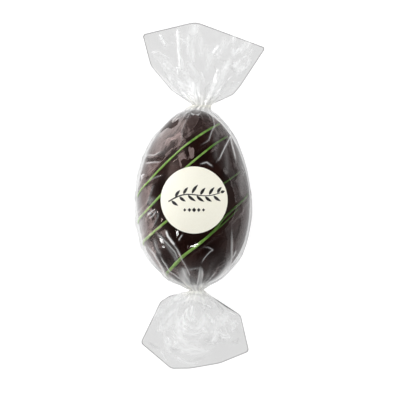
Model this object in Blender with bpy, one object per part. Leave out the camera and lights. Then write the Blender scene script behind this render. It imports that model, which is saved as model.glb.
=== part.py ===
"""A marzipan egg in a clear film wrapper, gathered into a fan at each end, with a round paper label.

The egg lies on its back on a small flat spot: long axis along Y, label up, origin under the label's middle.
The wrapper and what it holds are one closed solid. The label is a thin curved disc just above it.
"""

import math

import bmesh
import bpy

MM = 0.001

# Wrapped egg, in millimetres
HALF_WIDTH = 21.1  # half the width across X at the middle
HALF_HEIGHT = 19.2  # half the height along Z at the middle, before the foot is cut
FOOT_CUT = 1.0  # how deep the flat spot cuts into the round underside
TOP_TIP = 35.2  # where the egg's outline would close, towards +Y
BOTTOM_TIP = -33.0  # and towards -Y
BLUNTNESS = 0.56  # exponent of the outline: 0.5 is an ellipse, more is blunter in the middle
LOWER_SWELL = 0.11  # how much fuller the -Y half is
AXIS_HEIGHT = HALF_HEIGHT - FOOT_CUT

# Gathers at the two ends of the egg
PLEATS = 18
POINTS_PER_PLEAT = 4
AROUND = PLEATS * POINTS_PER_PLEAT
LAYER = AROUND // 2  # steps across one layer of a fan
PLEAT_DEPTH = 0.14  # share of the radius, at the neck
PLEAT_REACH = 13.0  # how far from the neck the pleats fade out on the egg
LEAN_REACH = 18.0  # how far the egg's end leans towards its neck
LEAN_SHARE = 0.35  # share of the neck's offset taken up by that lean
NECK_BEND = 1.5  # the rest of the offset is made in a bend about this long
BODY_STEPS = 38

# Fans
FILM_THICKNESS = 1.0  # the gathered layers together
FAN_STEPS = 12
ROUND_TO_FLAT = 0.35  # share of the fan over which the round bunch flattens

# Label
LABEL_RADIUS = 12.5
LABEL_CENTRE_Y = 0.3
LABEL_GAP = 0.3
LABEL_THICKNESS = 0.35
LABEL_RINGS = 5
LABEL_SEGMENTS = 36

# name: neck centre (x, y), neck radius, rim corners from the +X side round to the -X side,
# number of folds, fold height, lift of the rim's +X and -X ends
TOP_FAN = {
    "neck": (3.1, 34.9),
    "radius": 3.3,
    "rim": [(16.4, 40.4), (26.3, 55.6), (3.5, 65.1), (-11.6, 64.7), (-18.9, 60.3), (-15.6, 50.0), (-7.5, 39.7)],
    "folds": 5.5,
    "fold_height": 1.8,
    "lift": (4.0, -2.5),
}
BOTTOM_FAN = {
    "neck": (1.2, -33.4),
    "radius": 2.6,
    "rim": [
        (11.9, -39.0),
        (17.6, -43.6),
        (20.4, -55.1),
        (17.3, -58.3),
        (5.7, -61.0),
        (-6.4, -62.1),
        (-18.9, -51.8),
        (-14.2, -41.2),
        (-9.0, -35.2),
    ],
    "folds": 6.5,
    "fold_height": 1.6,
    "lift": (-3.0, 3.0),
}


def smooth(t):
    """0 to 1 with level ends."""
    t = min(max(t, 0.0), 1.0)
    return t * t * (3.0 - 2.0 * t)


def mix(a, b, t):
    return a + (b - a) * t


def triangle_wave(turns):
    """A zigzag between -1 and 1, one full fold per turn."""
    return 4.0 * abs(turns - math.floor(turns + 0.5)) - 1.0


def outline(y):
    """Half width of the wrapped egg at y, before the necks."""
    t = (y - (TOP_TIP + BOTTOM_TIP) / 2) / ((TOP_TIP - BOTTOM_TIP) / 2)
    if abs(t) >= 1.0:
        return 0.0
    return HALF_WIDTH * (1.0 - t * t) ** BLUNTNESS * (1.0 - LOWER_SWELL * t)


def never_under(size, least):
    """The size, rounded off so that it doesn't fall under the least."""
    return (size**4 + least**4) ** 0.25


def half_sizes(y, neck_radius):
    """Half width and half height of the wrapped egg at y."""
    width = outline(y)
    return never_under(width, neck_radius), never_under(width * HALF_HEIGHT / HALF_WIDTH, neck_radius)


def body_ring(y, fan, reach_from_neck):
    """The closed cross-section of the wrapped egg at y. The fan's neck sets the smallest radius."""
    half_width, half_height = half_sizes(y, fan["radius"])
    closeness = 1.0 - smooth(reach_from_neck / PLEAT_REACH)
    lean = LEAN_SHARE * (1.0 - smooth(reach_from_neck / LEAN_REACH))
    bend = (1.0 - LEAN_SHARE) * math.exp(-reach_from_neck / NECK_BEND)
    centre_x = fan["neck"][0] * (lean + bend)
    ring = []
    for n in range(AROUND):
        angle = 2.0 * math.pi * n / AROUND
        swell = 1.0 + PLEAT_DEPTH * closeness * triangle_wave(n / POINTS_PER_PLEAT)
        x = centre_x + half_width * swell * math.cos(angle)
        z = AXIS_HEIGHT + half_height * swell * math.sin(angle)
        ring.append((x, y, max(z, 0.0)))
    return ring


def along_rim(corners, steps):
    """Steps + 1 points along a line of corners, with a point on every corner."""
    lengths = [math.dist(a, b) for a, b in zip(corners, corners[1:])]
    spare = steps - len(lengths)
    shares = [spare * length / sum(lengths) for length in lengths]
    counts = [1 + int(share) for share in shares]
    by_remainder = sorted(range(len(shares)), key=lambda i: int(shares[i]) - shares[i])
    for i in by_remainder[: steps - sum(counts)]:
        counts[i] += 1
    points = [corners[0]]
    for start, end, count in zip(corners, corners[1:], counts):
        points += [(mix(start[0], end[0], k / count), mix(start[1], end[1], k / count)) for k in range(1, count + 1)]
    return points


def fan_ring(fan, s):
    """The closed cross-section of a fan at s: 0 is its neck and 1 its rim. Both layers share the folds."""
    rim = along_rim(fan["rim"], LAYER)
    neck_x, neck_y = fan["neck"]
    flatness = smooth(s / ROUND_TO_FLAT)
    opening = smooth(s / 0.8)
    ring = []
    for n in range(AROUND):
        angle = 2.0 * math.pi * n / AROUND
        across = n if n <= LAYER else AROUND - n
        share = across / LAYER
        rim_x, rim_y = rim[across]
        swell = 1.0 + PLEAT_DEPTH * (1.0 - flatness) * triangle_wave(n / POINTS_PER_PLEAT)
        radius = fan["radius"] * swell
        side = 0.0 if across in (0, LAYER) else math.copysign(0.5, math.sin(angle))
        fold = fan["fold_height"] * opening * triangle_wave(fan["folds"] * share)
        lift = mix(fan["lift"][0], fan["lift"][1], share) * s * s
        x = mix(neck_x + radius * math.cos(angle), rim_x, s)
        y = mix(neck_y, rim_y, s)
        z = AXIS_HEIGHT + lift + fold + mix(radius * math.sin(angle), side * FILM_THICKNESS, flatness)
        ring.append((x, y, z))
    return ring


def wrapper_rings():
    """Every cross-section, from the -Y fan's rim over the egg to the +Y fan's rim."""
    rings = [fan_ring(BOTTOM_FAN, 1.0 - k / FAN_STEPS) for k in range(FAN_STEPS)]
    low, high = BOTTOM_FAN["neck"][1], TOP_FAN["neck"][1]
    for k in range(BODY_STEPS + 1):
        # closer together towards both necks, where the outline turns fastest
        y = mix(low, high, 0.5 - 0.5 * math.cos(math.pi * k / BODY_STEPS))
        near, fan = min((y - low, BOTTOM_FAN), (high - y, TOP_FAN), key=lambda pair: pair[0])
        rings.append(body_ring(y, fan, near))
    rings += [fan_ring(TOP_FAN, (k + 1) / FAN_STEPS) for k in range(FAN_STEPS)]
    return rings


def add_object(name, mesh_builder, colour, roughness):
    """A mesh object with its own Principled material, in metres."""
    mesh = bpy.data.meshes.new(name)
    bm = bmesh.new()
    mesh_builder(bm)
    bmesh.ops.scale(bm, vec=(MM, MM, MM), verts=bm.verts)
    bmesh.ops.recalc_face_normals(bm, faces=bm.faces)
    bm.to_mesh(mesh)
    bm.free()
    mesh.shade_smooth()
    mesh.set_sharp_from_angle(angle=math.radians(30))
    material = bpy.data.materials.new(name)
    material.use_nodes = True
    shader = material.node_tree.nodes["Principled BSDF"]
    shader.inputs["Base Color"].default_value = (*colour, 1.0)
    shader.inputs["Roughness"].default_value = roughness
    shader.inputs["Metallic"].default_value = 0.0
    mesh.materials.append(material)
    obj = bpy.data.objects.new(name, mesh)
    bpy.context.scene.collection.objects.link(obj)
    return obj


def build_wrapper(bm):
    rings = [[bm.verts.new(point) for point in ring] for ring in wrapper_rings()]
    for near, far in zip(rings, rings[1:]):
        for n in range(AROUND):
            bm.faces.new((near[n], near[(n + 1) % AROUND], far[(n + 1) % AROUND], far[n]))
    for rim in (rings[0], rings[-1]):
        for n in range(LAYER):
            corners = (rim[n], rim[n + 1], rim[AROUND - n - 1], rim[(AROUND - n) % AROUND])
            bm.faces.new(dict.fromkeys(corners))


def egg_top(x, y):
    """Height of the wrapped egg's upper side."""
    half_width, half_height = half_sizes(y, TOP_FAN["radius"])
    return AXIS_HEIGHT + half_height * math.sqrt(1.0 - (x / half_width) ** 2)


def build_label(bm):
    """Upper and lower faces of rings about the middle, joined round the edge."""
    sides = []
    for lift in (LABEL_GAP, LABEL_GAP + LABEL_THICKNESS):
        centre = bm.verts.new((0.0, LABEL_CENTRE_Y, egg_top(0.0, LABEL_CENTRE_Y) + lift))
        rings = []
        for k in range(1, LABEL_RINGS + 1):
            radius = LABEL_RADIUS * k / LABEL_RINGS
            ring = []
            for n in range(LABEL_SEGMENTS):
                angle = 2.0 * math.pi * n / LABEL_SEGMENTS
                x = radius * math.cos(angle)
                y = LABEL_CENTRE_Y + radius * math.sin(angle)
                ring.append(bm.verts.new((x, y, egg_top(x, y) + lift)))
            rings.append(ring)
        for n in range(LABEL_SEGMENTS):
            after = (n + 1) % LABEL_SEGMENTS
            bm.faces.new((centre, rings[0][n], rings[0][after]))
            for inner, outer in zip(rings, rings[1:]):
                bm.faces.new((inner[n], outer[n], outer[after], inner[after]))
        sides.append(rings[-1])
    lower, upper = sides
    for n in range(LABEL_SEGMENTS):
        after = (n + 1) % LABEL_SEGMENTS
        bm.faces.new((lower[n], lower[after], upper[after], upper[n]))


def main():
    for obj in list(bpy.data.objects):
        bpy.data.objects.remove(obj)
    add_object("wrapper", build_wrapper, (0.06, 0.035, 0.03), 0.15)
    add_object("label", build_label, (0.92, 0.90, 0.78), 0.6)


main()
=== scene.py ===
"""A marzipan egg in clear film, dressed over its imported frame.

The frame gives two solids: the wrapper, which stands for the film and all it holds, and the label. Here
the wrapper becomes a coated egg, lines of icing and a creased sheet of clear film that is gathered into a
fan at each end, and the label becomes coated paper with a small printed sprig. Shapes are worked out in
millimetres in the frame's own axes: +Z up through the label, +Y towards the egg's narrower end.
"""

import logging
import math
from collections.abc import Callable, Sequence
from dataclasses import dataclass
from enum import Enum

import bpy
import numpy as np
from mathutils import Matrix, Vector, geometry, noise
from mathutils.bvhtree import BVHTree
from mathutils.kdtree import KDTree

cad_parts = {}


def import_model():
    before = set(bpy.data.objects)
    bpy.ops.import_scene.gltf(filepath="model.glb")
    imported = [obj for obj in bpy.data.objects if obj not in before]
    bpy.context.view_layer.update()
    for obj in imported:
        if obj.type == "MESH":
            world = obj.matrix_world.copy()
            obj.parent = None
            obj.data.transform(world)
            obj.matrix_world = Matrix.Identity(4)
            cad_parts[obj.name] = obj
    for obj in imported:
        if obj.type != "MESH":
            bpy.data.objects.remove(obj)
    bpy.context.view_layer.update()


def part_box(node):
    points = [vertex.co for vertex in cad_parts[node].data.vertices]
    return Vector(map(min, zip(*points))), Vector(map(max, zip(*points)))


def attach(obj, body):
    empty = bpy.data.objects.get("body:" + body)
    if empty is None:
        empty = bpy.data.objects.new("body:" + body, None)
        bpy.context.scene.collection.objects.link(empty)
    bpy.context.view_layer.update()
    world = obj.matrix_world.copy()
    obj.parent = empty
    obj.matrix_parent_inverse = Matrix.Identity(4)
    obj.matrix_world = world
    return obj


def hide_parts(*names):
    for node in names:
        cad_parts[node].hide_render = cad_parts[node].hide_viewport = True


logging.basicConfig(level=logging.INFO, format="%(message)s")
LOG = logging.getLogger("marzipan_egg")

MM = 0.001

TINY = 1e-9  # keeps a division clear of zero
Points = np.ndarray
XY = tuple[float, float]


# ----------------------------------------
# Small tools


class Slot(Enum):
    """The record's material slots."""

    FILM = "clear_film"
    PAPER = "label_paper"
    CHOCOLATE = "dark_chocolate"
    ICING = "green_icing"


def smooth(t: Points | float) -> Points:
    """0 to 1 with level ends."""
    t = np.clip(t, 0.0, 1.0)
    return t * t * (3.0 - 2.0 * t)


def mix(a: Points | float, b: Points | float, t: Points | float) -> Points:
    """The value a share t of the way from a to b."""
    return a + (b - a) * t


def linear(hex_colour: str) -> tuple[float, float, float, float]:
    """An sRGB hex colour as the linear colour that shaders use.

    Args:
        hex_colour: six hex digits after a #.

    Returns:
        Red, green, blue and an alpha of 1.
    """
    parts = [int(hex_colour[i : i + 2], 16) / 255.0 for i in (1, 3, 5)]
    red, green, blue = (c / 12.92 if c <= 0.04045 else ((c + 0.055) / 1.055) ** 2.4 for c in parts)
    return red, green, blue, 1.0


def add_node(
    owner: bpy.types.Material | bpy.types.World,
    kind: str,
    settings: dict[str, object] | None = None,
    numbered: Sequence[object] = (),
    stops: Sequence[tuple[float, str]] = (),
    **named: object,
) -> bpy.types.Node:
    """Adds one shader node with its settings and what feeds its inputs.

    An input is fed by a value, a socket, or another node, which gives its first output.

    Args:
        owner: the material or world that owns the node tree.
        kind: the node's type name, without ShaderNode.
        settings: attributes of the node itself.
        numbered: what feeds the first inputs, in their order.
        stops: place and hex colour of each stop, where the node is a colour ramp.
        **named: what feeds inputs by name, with _ for a space.

    Returns:
        The new node.
    """
    tree = owner.node_tree
    node = tree.nodes.new("ShaderNode" + kind)
    for name, value in (settings or {}).items():
        setattr(node, name, value)
    for socket, feed in (*enumerate(numbered), *named.items()):
        target = node.inputs[socket.replace("_", " ") if isinstance(socket, str) else socket]
        if isinstance(feed, bpy.types.Node):
            feed = feed.outputs[0]
        if isinstance(feed, bpy.types.NodeSocket):
            tree.links.new(feed, target)
        else:
            target.default_value = feed
    if stops:
        ramp = node.color_ramp.elements
        while len(ramp) < len(stops):
            ramp.new(0.5)
        for element, (at, colour) in zip(ramp, stops):
            element.position, element.color = at, linear(colour)
    return node


def new_material(name: str) -> bpy.types.Material:
    """An empty node material.

    Args:
        name: its name.

    Returns:
        The material.
    """
    material = bpy.data.materials.new(name)
    material.use_nodes = True
    material.node_tree.nodes.clear()
    return material


def finish_material(material: bpy.types.Material, shader: bpy.types.Node) -> bpy.types.Material:
    """Joins a shader to the material's output."""
    add_node(material, "OutputMaterial", Surface=shader)
    return material


def relief(
    material: bpy.types.Material, size_mm: float, detail: float, strength: float, depth_mm: float
) -> tuple[bpy.types.Node, bpy.types.Node]:
    """Fine unevenness in a surface.

    Args:
        material: what owns the nodes.
        size_mm: how large one bump is.
        detail: how many finer bumps lie on it.
        strength: share of the depth that shows.
        depth_mm: how deep the bumps are.

    Returns:
        The pattern, and the bent normals that it gives.
    """
    where = add_node(material, "TexCoord").outputs["Object"]
    pattern = add_node(material, "TexNoise", Vector=where, Scale=1.0 / (size_mm * MM), Detail=detail)
    return pattern, add_node(material, "Bump", Height=pattern, Strength=strength, Distance=depth_mm * MM)


def grid_faces(rows: int, columns: int) -> Points:
    """Quads of a grid of points, row by row, where each row joins back to its start.

    Args:
        rows: number of rows.
        columns: number of points in a row.

    Returns:
        An array of four point numbers for each face.
    """
    row, column = np.meshgrid(np.arange(rows - 1), np.arange(columns), indexing="ij")
    after = (column + 1) % columns
    near, far = row * columns, (row + 1) * columns
    return np.stack([near + column, near + after, far + after, far + column], axis=-1).reshape(-1, 4)


def make_object(
    name: str, points_mm: Points, faces: Sequence[Sequence[int]] | Points, material: bpy.types.Material
) -> bpy.types.Object:
    """A smooth-shaded mesh object in the scene.

    Args:
        name: the object's name.
        points_mm: its points, in millimetres.
        faces: point numbers of each face.
        material: its material.

    Returns:
        The object.
    """
    mesh = bpy.data.meshes.new(name)
    points = (np.asarray(points_mm).reshape(-1, 3) * MM).tolist()
    mesh.from_pydata(points, [], [list(map(int, face)) for face in faces])
    mesh.validate()
    mesh.shade_smooth()
    mesh.materials.append(material)
    obj = bpy.data.objects.new(name, mesh)
    bpy.context.scene.collection.objects.link(obj)
    return obj


def add_values(obj: bpy.types.Object, name: str, values: Points) -> None:
    """Stores one number for each point, for a material to read."""
    layer = obj.data.attributes.new(name, "FLOAT", "POINT")
    layer.data.foreach_set("value", np.asarray(values, np.float32).ravel())


def place(obj: bpy.types.Object, solid: str) -> bpy.types.Object:
    """Fixes a piece to the frame, hides the solid that it takes the place of and logs how many faces it has.

    Args:
        obj: the piece.
        solid: the solid that it takes the place of.

    Returns:
        The piece.
    """
    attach(obj, "root")
    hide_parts(solid)
    LOG.info("%s: %d faces", obj.name, len(obj.data.polygons))
    return obj


def uneven(points: Points, grain: float, seed: float = 0.0) -> Points:
    """Soft random heights over places in space.

    Args:
        points: the places, in millimetres.
        grain: how far apart the bumps are, in millimetres.
        seed: shifts the pattern.

    Returns:
        A height from about -1 to 1 for each place.
    """
    flat = points.reshape(-1, 3) / grain + seed
    return np.array([noise.noise(Vector(p)) for p in flat]).reshape(points.shape[:-1])


def unit(vectors: Points) -> Points:
    """The same directions with a length of 1."""
    return vectors / np.maximum(np.linalg.norm(vectors, axis=-1, keepdims=True), TINY)


def heading(turn: Points | float) -> Points:
    """Steps of 1 across the table, at angles from +X towards +Y."""
    return np.stack([np.cos(turn), np.sin(turn)], axis=-1)


def lengths(line: Points) -> Points:
    """How far along a line each of its points is."""
    return np.concatenate([[0.0], np.cumsum(np.linalg.norm(np.diff(line, axis=0), axis=1))])


def beside(line: Points, x: Points, y: Points) -> tuple[Points, Points, Points]:
    """Where places lie beside a line, seen from above.

    Args:
        line: the line's points.
        x: places, in millimetres.
        y: places, in millimetres.

    Returns:
        Distance from the line, the same distance with a minus sign on the line's right, and the share of
        the line's length at which it is nearest.
    """
    length = lengths(line)
    near = np.full(x.shape, np.inf)
    signed, along = np.zeros(x.shape), np.zeros(x.shape)
    for (ax, ay), (bx, by), before, after in zip(line, line[1:], length, length[1:]):
        span = max(after - before, TINY)
        ux, uy = (bx - ax) / span, (by - ay) / span
        t = np.clip((x - ax) * ux + (y - ay) * uy, 0.0, span)
        off_x, off_y = x - ax - t * ux, y - ay - t * uy
        distance = np.hypot(off_x, off_y)
        closer = distance < near
        near = np.where(closer, distance, near)
        signed = np.where(closer, ux * off_y - uy * off_x, signed)
        along = np.where(closer, (before + t) / length[-1], along)
    return near, signed, along


def within(corners: Sequence[XY], x: Points, y: Points) -> Points:
    """Which places lie inside an outline.

    Args:
        corners: the outline's corners.
        x: places, in millimetres.
        y: places, in millimetres.

    Returns:
        True for each place inside.
    """
    inside = np.zeros(x.shape, bool)
    for (ax, ay), (bx, by) in zip(corners, (*corners[1:], corners[0])):
        crosses = (ay > y) != (by > y)
        inside ^= crosses & (x < ax + (bx - ax) * (y - ay) / (by - ay if by != ay else TINY))
    return inside


# ----------------------------------------
# Finishes


@dataclass(frozen=True)
class DarkCouverture:
    """Dark chocolate run over the marzipan and set: smooth and satin, with faint clouds and fine pores."""

    deep: str = "#190C0A"
    lit: str = "#29130F"
    sheen: str = "#F6DCD4"
    roughness: tuple[float, float] = (0.20, 0.34)
    ior: float = 1.44
    cloud_mm: float = 7.0
    pore_mm: float = 0.7
    pore_depth_mm: float = 0.05

    def make(self) -> bpy.types.Material:
        """Makes the material: clouds of slightly duller and warmer coat, and pores over all of it.

        Returns:
            The material.
        """
        material = new_material("dark_couverture")
        where = add_node(material, "TexCoord").outputs["Object"]
        clouds = add_node(material, "TexNoise", Vector=where, Scale=1.0 / (self.cloud_mm * MM), Detail=3.0)
        _, pores = relief(material, self.pore_mm, 4.0, 0.25, self.pore_depth_mm)
        gloss = add_node(
            material,
            "MapRange",
            Value=clouds,
            From_Min=0.3,
            From_Max=0.7,
            To_Min=self.roughness[0],
            To_Max=self.roughness[1],
        )
        tone = add_node(material, "ValToRGB", stops=[(0.35, self.deep), (0.65, self.lit)], Fac=clouds)
        shader = add_node(
            material,
            "BsdfPrincipled",
            Base_Color=tone,
            Roughness=gloss,
            Normal=pores,
            IOR=self.ior,
            Specular_IOR_Level=0.25,
            Specular_Tint=linear(self.sheen),
        )
        return finish_material(material, shader)


@dataclass(frozen=True)
class ColouredIcing:
    """Green-coloured white couverture, piped thin and set: opaque, waxy, paler where it is thick, with
    painted shade that makes it darker towards +X.
    """

    shaded: str = "#33491F"  # painted shade: the darkest colour, which shows towards +X
    thin: str = "#659833"
    thick: str = "#90BC5A"
    roughness: float = 0.38
    ior: float = 1.46
    mottle_mm: float = 1.6
    mottle_depth_mm: float = 0.08
    mottle_share: float = 0.6  # how much of its thickness the mottling changes

    def make(self) -> bpy.types.Material:
        """Makes the material, which reads a painted shade stored at each place of the icing, darker towards
        +X, and adds mottling in its thickness.

        Returns:
            The material.
        """
        material = new_material("coloured_icing")
        mottle, bump = relief(material, self.mottle_mm, 3.0, 0.3, self.mottle_depth_mm)
        cover = add_node(material, "Attribute", {"attribute_name": "cover"}).outputs["Fac"]
        depth = add_node(material, "Math", {"operation": "MULTIPLY_ADD"}, (mottle, self.mottle_share, cover))
        stops = [(0.30, self.shaded), (0.95, self.thin), (1.0, self.thick)]
        tone = add_node(material, "ValToRGB", stops=stops, Fac=depth)
        shader = add_node(
            material, "BsdfPrincipled", Base_Color=tone, Normal=bump, Roughness=self.roughness, IOR=self.ior
        )
        return finish_material(material, shader)


@dataclass(frozen=True)
class CastFilm:
    """Clear cast film, 30 microns, crisp and glossy: it is seen by what it mirrors, its folds and its edges.

    One surface stands for both faces of the film, and mirrors what the two mirror together: 2R / (1 + R).
    Part of the gloss is broad, which stands for crinkles too fine to show one by one. The crinkles that
    do show are drawn coarser than they are.
    """

    ior: float = 1.50
    roughness: float = 0.03
    handled_roughness: float = 0.2  # in the fans, which have been handled most
    crinkled_roughness: float = 0.35
    crinkled_share: float = 0.06
    clear: str = "#F2F2F2"
    mirrored: str = "#C0C0C0"
    mirrored_on_coat: str = "#D8C0BC"  # where it rests on the coat, some of its sheen is the coat's
    # painted shade: the film is made darker along the fans' cut edge
    edge_shade: str = "#7A7A7A"
    # the white of milky film; on creases and fan streaks it also stands for painted highlight
    whitened: str = "#FCFDFD"
    whitened_thick: str = "#FAF8EE"  # many layers together look faintly cream
    crinkle_mm: float = 1.5
    crinkle_depth_mm: float = 0.06
    haze: float = 0.0004

    def make(self) -> bpy.types.Material:
        """Makes the material, which reads the values that the film stores at each of its points.

        Returns:
            The material.
        """
        material = new_material("cast_film")
        gather, crease, edge, resting, handled, painted_dark = (
            add_node(material, "Attribute", {"attribute_name": name}).outputs["Fac"]
            for name in ("gather", "crease", "edge", "resting", "handled", "painted_dark")
        )
        # the creases' whiteness is partly a painted highlight
        both = add_node(material, "Math", {"operation": "ADD", "use_clamp": True}, (gather, crease))
        cloudy = add_node(material, "MapRange", Value=both, To_Min=self.haze, To_Max=1.0)
        tint = add_node(material, "ValToRGB", stops=[(0.0, self.clear), (1.0, self.edge_shade)], Fac=edge)
        through = add_node(material, "BsdfTransparent", Color=tint)
        layers = [(0.15, self.whitened), (0.7, self.whitened_thick)]
        milk = add_node(material, "ValToRGB", stops=layers, Fac=gather)
        white = add_node(material, "BsdfDiffuse", Color=milk)
        body = add_node(material, "MixShader", None, (cloudy, through, white))
        mirrors = [(0.0, self.mirrored), (1.0, self.mirrored_on_coat)]
        colour = add_node(material, "ValToRGB", stops=mirrors, Fac=resting)
        dulled = add_node(
            material, "MapRange", Value=handled, To_Min=self.roughness, To_Max=self.handled_roughness
        )
        _, bump = relief(material, self.crinkle_mm, 2.0, 0.5, self.crinkle_depth_mm)
        crisp = add_node(material, "BsdfGlossy", Normal=bump, Color=colour, Roughness=dulled)
        broad = add_node(material, "BsdfGlossy", Color=colour, Roughness=self.crinkled_roughness)
        gloss = add_node(material, "MixShader", None, (self.crinkled_share, crisp, broad))
        back = add_node(material, "NewGeometry").outputs["Backfacing"]
        ior = add_node(material, "MapRange", Value=back, To_Min=self.ior, To_Max=1.0 / self.ior)
        face = add_node(material, "Fresnel", IOR=ior)
        twice = add_node(material, "Math", {"operation": "MULTIPLY"}, (face, 2.0))
        over = add_node(material, "Math", {"operation": "ADD"}, (face, 1.0))
        share = add_node(material, "Math", {"operation": "DIVIDE"}, (twice, over))
        # painted shade: the mirrored share is cut down where painted_dark is set, so those places show dark
        free = add_node(material, "Math", {"operation": "SUBTRACT"}, (1.0, painted_dark))
        seen = add_node(material, "Math", {"operation": "MULTIPLY"}, (share, free))
        shader = add_node(material, "MixShader", None, (seen, body, gloss))
        return finish_material(material, shader)


@dataclass(frozen=True)
class CoatedPaper:
    """Cream coated label paper: flat and even, with a faint tooth."""

    cream: str = "#FAF8EA"
    shade: str = "#F6F3E3"
    roughness: float = 0.55
    tooth_mm: float = 0.35
    tooth_depth_mm: float = 0.02

    def make(self) -> bpy.types.Material:
        """Makes the material.

        Returns:
            The material.
        """
        material = new_material("coated_paper")
        tooth, bump = relief(material, self.tooth_mm, 3.0, 0.15, self.tooth_depth_mm)
        tone = add_node(material, "ValToRGB", stops=[(0.3, self.shade), (0.7, self.cream)], Fac=tooth)
        shader = add_node(material, "BsdfPrincipled", Base_Color=tone, Normal=bump, Roughness=self.roughness)
        return finish_material(material, shader)


@dataclass(frozen=True)
class PrintInk:
    """Near-black printing ink, flat and a little uneven in its cover."""

    full: str = "#1D1B1C"
    thin: str = "#2E2B2B"
    roughness: float = 0.5
    cover_mm: float = 0.5

    def make(self) -> bpy.types.Material:
        """Makes the material.

        Returns:
            The material.
        """
        material = new_material("print_ink")
        where = add_node(material, "TexCoord").outputs["Object"]
        cover = add_node(material, "TexNoise", Vector=where, Scale=1.0 / (self.cover_mm * MM))
        tone = add_node(material, "ValToRGB", stops=[(0.35, self.full), (0.7, self.thin)], Fac=cover)
        shader = add_node(material, "BsdfPrincipled", Base_Color=tone, Roughness=self.roughness)
        return finish_material(material, shader)


# ----------------------------------------
# Shapes shared by the egg and the film


@dataclass(frozen=True)
class Ovoid:
    """An egg lying along Y: its outline, its height and where its axis runs. All sizes are in millimetres."""

    half_width: float
    half_height: float
    top_tip: float
    bottom_tip: float
    bluntness: float
    lower_swell: float
    axis_height: float

    @property
    def flatness(self) -> float:
        """Its height as a share of its width."""
        return self.half_height / self.half_width

    @property
    def middle(self) -> float:
        """Where it is halfway between its tips."""
        return (self.top_tip + self.bottom_tip) / 2

    @property
    def half_length(self) -> float:
        """Half the distance between its tips."""
        return (self.top_tip - self.bottom_tip) / 2

    def outline(self, y: Points | float) -> Points:
        """Half width at y."""
        t = np.clip((np.asarray(y, float) - self.middle) / self.half_length, -1.0, 1.0)
        return self.half_width * (1.0 - t * t) ** self.bluntness * (1.0 - self.lower_swell * t)

    def top(self, x: Points, y: Points) -> Points:
        """Height of the upper side over a place.

        Args:
            x: places, in millimetres.
            y: places, in millimetres.

        Returns:
            Heights in millimetres.
        """
        half_width = np.maximum(self.outline(y), TINY)
        rise = np.sqrt(np.maximum(1.0 - (x / half_width) ** 2, 0.0))
        return self.axis_height + half_width * self.flatness * rise

    def point(self, lean: Points, y: Points) -> Points:
        """Points of the surface.

        Args:
            lean: angle from straight up towards +X, in radians.
            y: place along the egg.

        Returns:
            The points.
        """
        radius = self.outline(y)
        height = self.axis_height + radius * self.flatness * np.cos(lean)
        return np.stack([radius * np.sin(lean), y, height], axis=-1)

    def normal(self, lean: Points, y: Points) -> Points:
        """Unit normals of the surface.

        Args:
            lean: angle from straight up towards +X, in radians.
            y: place along the egg.

        Returns:
            The normals.
        """
        turn, step = 0.01, 0.05
        around = self.point(lean + turn, y) - self.point(lean - turn, y)
        along = self.point(lean, y + step) - self.point(lean, y - step)
        return unit(np.cross(along, -around))

    def lean(self, points: Points) -> Points:
        """Angle from straight up towards +X at which points lie."""
        return np.arctan2(points[..., 0], (points[..., 2] - self.axis_height) / self.flatness)


@dataclass(frozen=True)
class CreaseField:
    """Flat facets that meet in sharp creases, as film keeps them once it has been crushed.

    The facets are triangles between scattered points of random height. The sheet joins up round the egg.
    """

    facet: float
    seed: int
    stretch: float = 1.0
    scatter: float = 0.42  # how far a corner strays, as a share of the space between corners

    def heights(self, u: Points, v: Points, around: float) -> Points:
        """Heights over the sheet.

        Args:
            u: place round the sheet, in millimetres, from 0 to around.
            v: place along it, in millimetres.
            around: length of the sheet round the egg, in millimetres.

        Returns:
            A height from -1 to 1 for each place.
        """
        rng = np.random.default_rng(self.seed)
        columns = max(3, round(around / self.facet))
        step_u, step_v = around / columns, self.facet * self.stretch
        low, high = float(v.min()) - 2 * step_v, float(v.max()) + 2 * step_v
        rows = math.ceil((high - low) / step_v)
        column, row = np.meshgrid(np.arange(columns), np.arange(rows))
        off_u, off_v = (rng.uniform(-self.scatter, self.scatter, column.shape) for _ in range(2))
        seeds_u = (column + 0.5 * (row % 2) + off_u) * step_u
        seeds_v = low + (row + off_v) * step_v
        seeds_z = rng.uniform(-1.0, 1.0, column.shape)
        turns = [np.stack([seeds_u + k * around, seeds_v, seeds_z], axis=-1) for k in (-1, 0, 1)]
        corners = np.concatenate([turn.reshape(-1, 3) for turn in turns])
        overlap = 4 * step_u  # far enough past both ends for the triangles to join up
        corners = corners[(corners[:, 0] > -overlap) & (corners[:, 0] < around + overlap)]
        flat = [Vector(corner[:2]) for corner in corners]
        _, _, triangles, *_ = geometry.delaunay_2d_cdt(flat, [], [], 0, 1e-6)
        tree = BVHTree.FromPolygons([Vector(corner) for corner in corners], triangles)
        down, found = Vector((0.0, 0.0, -1.0)), []
        for a, b in zip(u.ravel(), v.ravel()):
            hit = tree.ray_cast(Vector((a, b, 2.0)), down)[0]
            found.append(hit.z if hit else 0.0)
        return np.array(found).reshape(u.shape)


# ----------------------------------------
# The egg and its icing


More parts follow.
